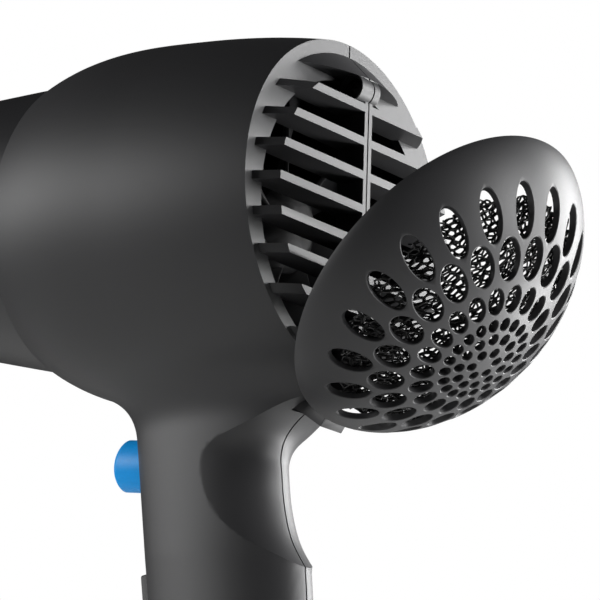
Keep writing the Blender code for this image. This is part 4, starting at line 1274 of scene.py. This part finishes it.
# ------------------------------------------------------------------ controls
@dataclass
class CoolShotButton:
    """Blue oval push button with a crowned front."""

    crown: float = 0.0030
    sides: int = 72

    def ring(self, y: float, share: float, margin: float = 0.0) -> list[Vector]:
        """Oval section of the button.

        Args:
            y: where the section lies.
            share: its size as a share of the full section.
            margin: extra room round it.

        Returns:
            Points of the section.
        """
        low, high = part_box("cool_shot_button")
        middle, half = (low + high) / 2.0, (high - low) / 2.0
        return oval(Vector((middle.x, y, middle.z)), SIDE, Vector((0, 0, 1)), half.x * share + margin,
                    half.z * share + margin, self.sides)

    def prism(self, margin: float, reach: float) -> bmesh.types.BMesh:
        """Plain oval bar that clears the button.

        Args:
            margin: room round the button.
            reach: how far it runs past both ends.

        Returns:
            The bar.
        """
        low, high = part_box("cool_shot_button")
        return loft([self.ring(y, 1.0, margin) for y in (low.y - reach, high.y + reach)])

    def build(self) -> None:
        """Loft ovals from the crowned front to the flat rear."""
        low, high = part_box("cool_shot_button")
        rings = []
        for step in np.linspace(0.06, 1.0, 18):
            share = math.sin(math.pi / 2.0 * step)
            rise = 1.0 - (1.0 - share ** 2.6) ** 0.8
            rings.append(self.ring(low.y + self.crown * rise, share))
        rings.append(self.ring(high.y, 1.0))
        dress(smooth(from_bmesh("blue_button", loft(rings)), 50.0), BLUE, "blue_plastic", "button",
              "cool_shot_button")


@dataclass
class SwitchPlate:
    """Plate on the handle's front with two slots, and the two ribbed sliders in them."""

    lean: float = math.atan(CasingShape.lean)
    proud: float = 0.0006
    thickness: float = 0.0036
    half_width: float = 0.0046
    top_z: float = -0.090
    bottom_z: float = -0.138
    travel: float = 0.0050
    slot_half_width: float = 0.0020
    slot_half_length: float = 0.0030
    cap_lift: float = 0.0009
    slider_zs: tuple[tuple[str, str, float], ...] = (("heat_switch", "heat_slider", -0.1035),
                                                     ("speed_switch", "speed_slider", -0.1245))

    def matrix(self) -> Matrix:
        """Place of the plate's middle, turned with the handle's front.

        Returns:
            The matrix.
        """
        middle_z = (self.top_z + self.bottom_z) / 2.0
        front_y = CasingShape.handle_front_y - CasingShape.lean * middle_z
        return (Matrix.Translation(RING_CENTRE + Vector((0.0, front_y, middle_z)))
                @ Matrix.Rotation(self.lean, 4, "X"))

    def half_length(self) -> float:
        """Half of the plate's length."""
        return (self.top_z - self.bottom_z) / math.cos(self.lean) / 2.0

    def height(self, z: float) -> float:
        """Distance along the plate for a height in the dryer."""
        return (z - (self.top_z + self.bottom_z) / 2.0) / math.cos(self.lean)

    def body(self, grow: float, ahead: float) -> bmesh.types.BMesh:
        """Plain plate in its place.

        Args:
            grow: extra room all round.
            ahead: extra room at the front.

        Returns:
            The plate.
        """
        return placed(block((-self.half_width - grow, -self.proud - ahead, -self.half_length() - grow),
                            (self.half_width + grow, self.thickness - self.proud + grow,
                             self.half_length() + grow)), self.matrix())

    def slider_tree(self) -> ShapeGraph:
        """Tree of one slider: a cap with a row of grip ribs and a neck.

        Returns:
            The tree.
        """
        g = ShapeGraph("ribbed_slider", {"Width": 0.0086, "Length": 0.0092, "Cap": 0.0018, "Rib Count": 6,
                                         "Rib Pitch": 0.0014, "Rib Width": 0.0007, "Rib Height": 0.0008,
                                         "Neck": 0.0036})
        cap = g.first("GeometryNodeMeshCube", {"Size": g.vector(g.size("Width"), g.size("Cap"),
                                                                g.size("Length"))})
        rib = g.first("GeometryNodeMeshCube", {"Size": g.vector(g.math("MULTIPLY", g.size("Width"), 0.86),
                                                                g.math("MULTIPLY", g.size("Rib Height"), 2.0),
                                                                g.size("Rib Width"))})
        first = g.math("MULTIPLY", g.math("MULTIPLY", g.math("SUBTRACT", g.size("Rib Count"), 1.0),
                                          g.size("Rib Pitch")), -0.5)
        front = g.math("MULTIPLY", g.size("Cap"), -0.5)
        line = g.first("GeometryNodeMeshLine", {"Count": g.size("Rib Count"),
                                                "Start Location": g.vector(0.0, front, first),
                                                "Offset": g.vector(0.0, 0.0, g.size("Rib Pitch"))})
        ribs = g.first("GeometryNodeInstanceOnPoints", {"Points": line, "Instance": rib})
        ribs = g.first("GeometryNodeRealizeInstances", {0: ribs})
        neck = g.first("GeometryNodeMeshCube", {"Size": g.vector(g.size("Neck"), 0.005, 0.0052)})
        neck = g.first("GeometryNodeTransform", {"Geometry": neck, "Translation": (0.0, 0.0028, 0.0)})
        union = g.add("GeometryNodeMeshBoolean", operation="UNION", solver="EXACT")
        for shape in (cap, ribs, neck):
            g.tree.links.new(shape, union.inputs["Mesh 2"])
        g.close(union.outputs[0])
        return g

    def build(self) -> None:
        """Make the plate and both sliders."""
        plate = from_bmesh("plate", self.body(0.0, 0.0))
        for _, _, z in self.slider_zs:
            low = self.height(z) - self.slot_half_length
            high = self.height(z) + self.slot_half_length + self.travel
            slot = placed(block((-self.slot_half_width, -0.010, low), (self.slot_half_width, 0.010, high)),
                          self.matrix())
            combine(plate, from_bmesh("slot", slot), "DIFFERENCE")
        soften(plate, 0.0005, 3)
        plate.name = "control_plate"
        dress(smooth(plate), DARK, "dark_plastic", "casing", "switch_plate")
        tree = self.slider_tree()
        for node, body, z in self.slider_zs:
            mesh = tree.mesh(DARK.material())
            lift = self.proud + PLAY + self.cap_lift
            mesh.transform(self.matrix() @ Matrix.Translation((0.0, -lift, self.height(z))))
            piece = add_object(body + "_cap", mesh)
            soften(piece, 0.00018)
            dress(smooth(piece), DARK, "dark_plastic", body, node)


# ------------------------------------------------------------------ fasteners and bush
@dataclass
class Screws:
    """Pan-head screws with a cross recess."""

    head_radius: float = 0.0027
    head_height: float = 0.0016
    shank_radius: float = 0.0013
    shank: float = 0.0150

    def tree(self) -> ShapeGraph:
        """Tree of a screw whose head points up its own Z.

        Returns:
            The tree.
        """
        g = ShapeGraph("cross_screw", {"Head Radius": self.head_radius, "Head Height": self.head_height,
                                       "Shank Radius": self.shank_radius, "Shank": self.shank,
                                       "Slot": 0.0006})
        head = g.first("GeometryNodeMeshUVSphere", {"Segments": 36, "Rings": 18,
                                                    "Radius": g.size("Head Radius")})
        flat = g.math("DIVIDE", g.size("Head Height"), g.size("Head Radius"))
        head = g.first("GeometryNodeTransform", {"Geometry": head, "Scale": g.vector(1.0, 1.0, flat)})
        below = g.first("GeometryNodeMeshCube", {"Size": (0.02, 0.02, 0.02)})
        below = g.first("GeometryNodeTransform", {"Geometry": below, "Translation": (0.0, 0.0, -0.01)})
        cut = g.add("GeometryNodeMeshBoolean", {"Mesh 1": head}, operation="DIFFERENCE", solver="EXACT")
        g.tree.links.new(below, cut.inputs["Mesh 2"])
        span = g.math("MULTIPLY", g.size("Head Radius"), 1.15)
        for size in (g.vector(span, g.size("Slot"), 0.0016), g.vector(g.size("Slot"), span, 0.0016)):
            bar = g.first("GeometryNodeMeshCube", {"Size": size})
            lift = g.vector(0.0, 0.0, g.size("Head Height"))
            bar = g.first("GeometryNodeTransform", {"Geometry": bar, "Translation": lift})
            g.tree.links.new(bar, cut.inputs["Mesh 2"])
        shank = g.first("GeometryNodeMeshCylinder", {"Vertices": 24, "Radius": g.size("Shank Radius"),
                                                     "Depth": g.size("Shank")})
        drop = g.math("MULTIPLY", g.size("Shank"), -0.5)
        shank = g.first("GeometryNodeTransform", {"Geometry": shank,
                                                  "Translation": g.vector(0.0, 0.0, drop)})
        union = g.add("GeometryNodeMeshBoolean", operation="UNION", solver="EXACT")
        for shape in (cut.outputs[0], shank):
            g.tree.links.new(shape, union.inputs["Mesh 2"])
        g.close(union.outputs[0])
        return g

    def build(self) -> None:
        """Make the two casing screws and the one at the top of the grille."""
        for name, length in (("shell_screw_1", 0.0160), ("shell_screw_2", 0.0160), ("grille_screw", 0.0055)):
            low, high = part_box(name)
            middle = (low + high) / 2.0
            outward = -1.0 if name.startswith("shell") else 1.0
            seat = low.x + 0.0015 if outward < 0 else high.x - 0.0015
            tree = Screws(shank=length).tree()
            mesh = tree.mesh(DARK_STEEL_PAINTED_SHADE.material())
            mesh.transform(Matrix.Translation((seat, middle.y, middle.z))
                           @ Matrix.Rotation(outward * math.pi / 2.0, 4, "Y"))
            dress(smooth(add_object(name + "_cross", mesh)), DARK_STEEL_PAINTED_SHADE, "steel", "casing", name)


@dataclass
class CordBush:
    """Ribbed bush at the end of the handle where a lead would enter."""

    bore: float = 0.0035
    rib_count: int = 4
    rib_radius: float = 0.0048
    groove_radius: float = 0.0042
    foot_radius: float = 0.0043
    rib_share: float = 0.55
    flank_share: float = 0.05
    neck_radius: float = 0.0051
    neck_length: float = 0.0050
    collar_radius: float = 0.0068
    collar_height: float = 0.0021
    collar_inset: float = 0.0002
    ease: float = 0.0003
    sides: int = 56

    def build(self) -> None:
        """Turn the bush as one profile with grooves below its collar."""
        low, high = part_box("cord_gland")
        middle = (low + high) / 2.0
        top = high.z - low.z
        first_rib = 2.0 * self.ease
        collar_low = top - self.neck_length - self.collar_height - self.ease
        pitch = (collar_low - first_rib) / self.rib_count
        profile = [(0.0, self.bore), (0.0, self.foot_radius)]
        flank = pitch * self.flank_share
        for i in range(self.rib_count):
            base = first_rib + pitch * i
            rib_end = base + pitch * self.rib_share
            profile += [(base, self.rib_radius), (rib_end, self.rib_radius),
                        (rib_end + flank, self.groove_radius), (base + pitch - flank, self.groove_radius)]
        collar_top = collar_low + self.collar_height
        profile += [(collar_low, self.collar_radius - self.collar_inset),
                    (collar_low + self.ease, self.collar_radius),
                    (collar_top - self.ease, self.collar_radius),
                    (collar_top, self.collar_radius - self.ease),
                    (collar_top, self.neck_radius), (top, self.neck_radius), (top, self.bore)]
        bm = bmesh.new()
        rows = []
        for i in range(self.sides):
            turn = math.tau * i / self.sides
            rows.append([bm.verts.new((r * math.cos(turn), middle.y + r * math.sin(turn), low.z + z))
                         for z, r in profile])
        for i, row in enumerate(rows):
            following = rows[(i + 1) % len(rows)]
            for k in range(len(profile)):
                m = (k + 1) % len(profile)
                bm.faces.new((row[k], row[m], following[m], following[k]))
        piece = from_bmesh("cord_bush", bm)
        dress(smooth(piece), RUBBER, "rubber", "casing", "cord_gland")


# ------------------------------------------------------------------ inner works
@dataclass
class InnerWorks:
    """Pieces inside the dryer: fine copies of their frame nodes with eased edges."""

    plan: tuple[tuple[str, Finish, str, str, float], ...] = (
        ("outlet_grille", DARK, "dark_plastic", "casing", 0.0002),
        ("heat_shield", MICA, "mica", "casing", 0.0001),
        ("heater_frame", MICA, "mica", "casing", 0.0001),
        ("thermostat", STEEL, "steel", "casing", 0.0),
        ("thermal_fuse", BRASS, "brass", "casing", 0.0004),
        ("motor_mount", FAN_BLACK_AND_PAINTED_SHADE, "fan_plastic", "casing", 0.0002),
        ("motor_cushion", RUBBER, "rubber", "casing", 0.0002),
        ("motor", MOTOR, "motor_steel", "casing", 0.0005),
        ("motor_shaft", STEEL, "steel", "fan", 0.0002),
        ("fan_rotor", FAN_BLACK_AND_PAINTED_SHADE, "fan_plastic", "fan", 0.0002),
        ("cover_hinge_pin", STEEL, "steel", "casing", 0.0002),
        ("cool_shot_spring", STEEL, "steel", "casing", 0.0),
        ("cool_shot_switch", DARK, "dark_plastic", "casing", 0.0),
        ("heat_switch_body", DARK, "dark_plastic", "casing", 0.0),
        ("speed_switch_body", DARK, "dark_plastic", "casing", 0.0),
        ("circuit_board", BOARD, "board", "casing", 0.0002),
    )

    def copy(self, node: str, edge: float) -> bpy.types.Object:
        """Merged, softened copy of a node's mesh.

        Args:
            node: name of the node.
            edge: rounding of its edges, or 0 for none.

        Returns:
            The copy.
        """
        bm = bmesh.new()
        bm.from_mesh(frame["nodes"][node].data)
        bmesh.ops.remove_doubles(bm, verts=bm.verts, dist=1e-6)
        bmesh.ops.dissolve_limit(bm, angle_limit=math.radians(1.0), verts=bm.verts, edges=bm.edges)
        piece = from_bmesh(node + "_fine", bm)
        if edge:
            soften(piece, edge)
        return smooth(piece)

    def coil(self) -> None:
        """Resistance coil as a swept helix."""
        low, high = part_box("heater_coil")
        centre = (low + high) / 2.0
        g = ShapeGraph("heater_helix", {"Radius": (high.x - low.x) / 2.0 - 0.0007, "Wire": 0.0006,
                                        "Turns": 6.0, "Length": high.y - low.y - 0.0014})
        path = g.add("GeometryNodeCurveSpiral", {"Resolution": 40, "Rotations": g.size("Turns"),
                                                 "Start Radius": g.size("Radius"),
                                                 "End Radius": g.size("Radius"), "Height": g.size("Length")})
        ring = g.add("GeometryNodeCurvePrimitiveCircle", {"Resolution": 8, "Radius": g.size("Wire")})
        wire = g.add("GeometryNodeCurveToMesh", {"Curve": path.outputs[0], "Profile Curve": ring.outputs[0],
                                                 "Fill Caps": True})
        g.close(wire.outputs[0])
        mesh = g.mesh(WIRE.material())
        mesh.transform(Matrix.Translation((centre.x, low.y + 0.0007, centre.z))
                       @ Matrix.Rotation(-math.pi / 2.0, 4, "X"))
        dress(smooth(add_object("heater_helix", mesh)), WIRE, "nichrome", "casing", "heater_coil")

    def build(self) -> None:
        """Make every inner piece."""
        self.coil()
        for node, finish, record_slot, body, edge in self.plan:
            dress(self.copy(node, edge), finish, record_slot, body, node)


# ------------------------------------------------------------------ studio
@dataclass
class Studio:
    """Camera, floor and soft light."""

    eye: tuple[float, float, float] = (0.7736, 0.5876, -0.1989)
    right: tuple[float, float, float] = (-0.5861, 0.7988, 0.1358)
    down: tuple[float, float, float] = (-0.2266, -0.0007, -0.9740)
    ahead: tuple[float, float, float] = (-0.7779, -0.6016, 0.1814)
    lens: float = 240.0
    floor_z: float = -0.092

    def camera(self) -> None:
        """Long lens looking up at the open end from behind and the left."""
        data = bpy.data.cameras.new("camera")
        data.lens = self.lens
        data.sensor_width = 36.0
        data.clip_start = 0.05
        data.clip_end = 20.0
        made = bpy.data.objects.new("camera", data)
        bpy.context.scene.collection.objects.link(made)
        turn = Matrix((Vector(self.right), -Vector(self.down), -Vector(self.ahead))).transposed().to_4x4()
        made.matrix_world = Matrix.Translation(RING_CENTRE + Vector(self.eye)) @ turn
        bpy.context.scene.camera = made

    def lamp(self, name: str, place: tuple[float, float, float], size: tuple[float, float],
             power: float) -> None:
        """Rectangular soft light aimed at the dryer.

        Args:
            name: name of the light.
            place: where it stands, from the ring's centre.
            size: its width and height.
            power: its power in watts.
        """
        data = bpy.data.lights.new(name, "AREA")
        data.shape = "RECTANGLE"
        data.size, data.size_y = size
        data.energy = power
        made = bpy.data.objects.new(name, data)
        bpy.context.scene.collection.objects.link(made)
        made.location = RING_CENTRE + Vector(place)
        made.rotation_euler = (-Vector(place)).to_track_quat("-Z", "Y").to_euler()

    def backdrop(self) -> None:
        """Pale floor, and a world that looks white and lights softly."""
        bm = bmesh.new()
        bmesh.ops.create_circle(bm, cap_ends=True, segments=64, radius=0.45)
        bmesh.ops.translate(bm, vec=(0.0, 0.0, self.floor_z), verts=bm.verts)
        floor = from_bmesh("floor", bm)
        floor.data.materials.append(Finish("pale_floor", (0.80, 0.80, 0.79), 0.7, cloud=0.02).material())
        world = bpy.data.worlds.new("studio")
        bpy.context.scene.world = world
        world.use_nodes = True
        g = Graph(world.node_tree)
        world.node_tree.nodes.clear()
        seen = g.add("ShaderNodeBackground", {"Color": (1.0, 1.0, 1.0, 1.0), "Strength": 1.0})
        fill = g.add("ShaderNodeBackground", {"Color": (1.0, 1.0, 1.0, 1.0), "Strength": 0.012})
        ray = g.add("ShaderNodeLightPath")
        mix = g.add("ShaderNodeMixShader", {0: ray.outputs["Is Camera Ray"], 1: fill.outputs[0],
                                            2: seen.outputs[0]})
        g.add("ShaderNodeOutputWorld", {0: mix.outputs[0]})
        bpy.context.scene.view_settings.view_transform = "Standard"

    def build(self) -> None:
        """Set the camera, the floor and the lamps."""
        self.camera()
        self.backdrop()
        self.lamp("key_behind", (-0.42, 1.05, 0.25), (0.50, 0.50), 14.0)
        self.lamp("rim_right", (-1.05, 0.35, 0.30), (0.50, 0.50), 17.0)
        self.lamp("rim_low", (-0.95, 0.58, -0.28), (0.40, 0.40), 17.0)
        self.lamp("side_strip", (0.80, -0.80, 0.20), (0.90, 0.40), 6.2)
        self.lamp("front_strip", (0.45, -1.05, 0.10), (0.90, 0.30), 3.0)


def main() -> None:
    """Build the dryer, piece by piece."""
    logging.basicConfig(level=logging.INFO, format="%(message)s")
    steps: tuple[tuple[str, Callable[[], None]], ...] = (
        ("studio", Studio().build),
        ("inlet grille", InletGrille().build),
        ("front barrel", FrontBarrel().build),
        ("lint cover", LintCover().build),
        ("button", CoolShotButton().build),
        ("switches", SwitchPlate().build),
        ("screws", Screws().build),
        ("bush", CordBush().build),
        ("inner works", InnerWorks().build),
        ("casing", Casing().build),
    )
    for label, step in steps:
        LOG.info("building %s", label)
        step()


if __name__ == "__main__":
    main()
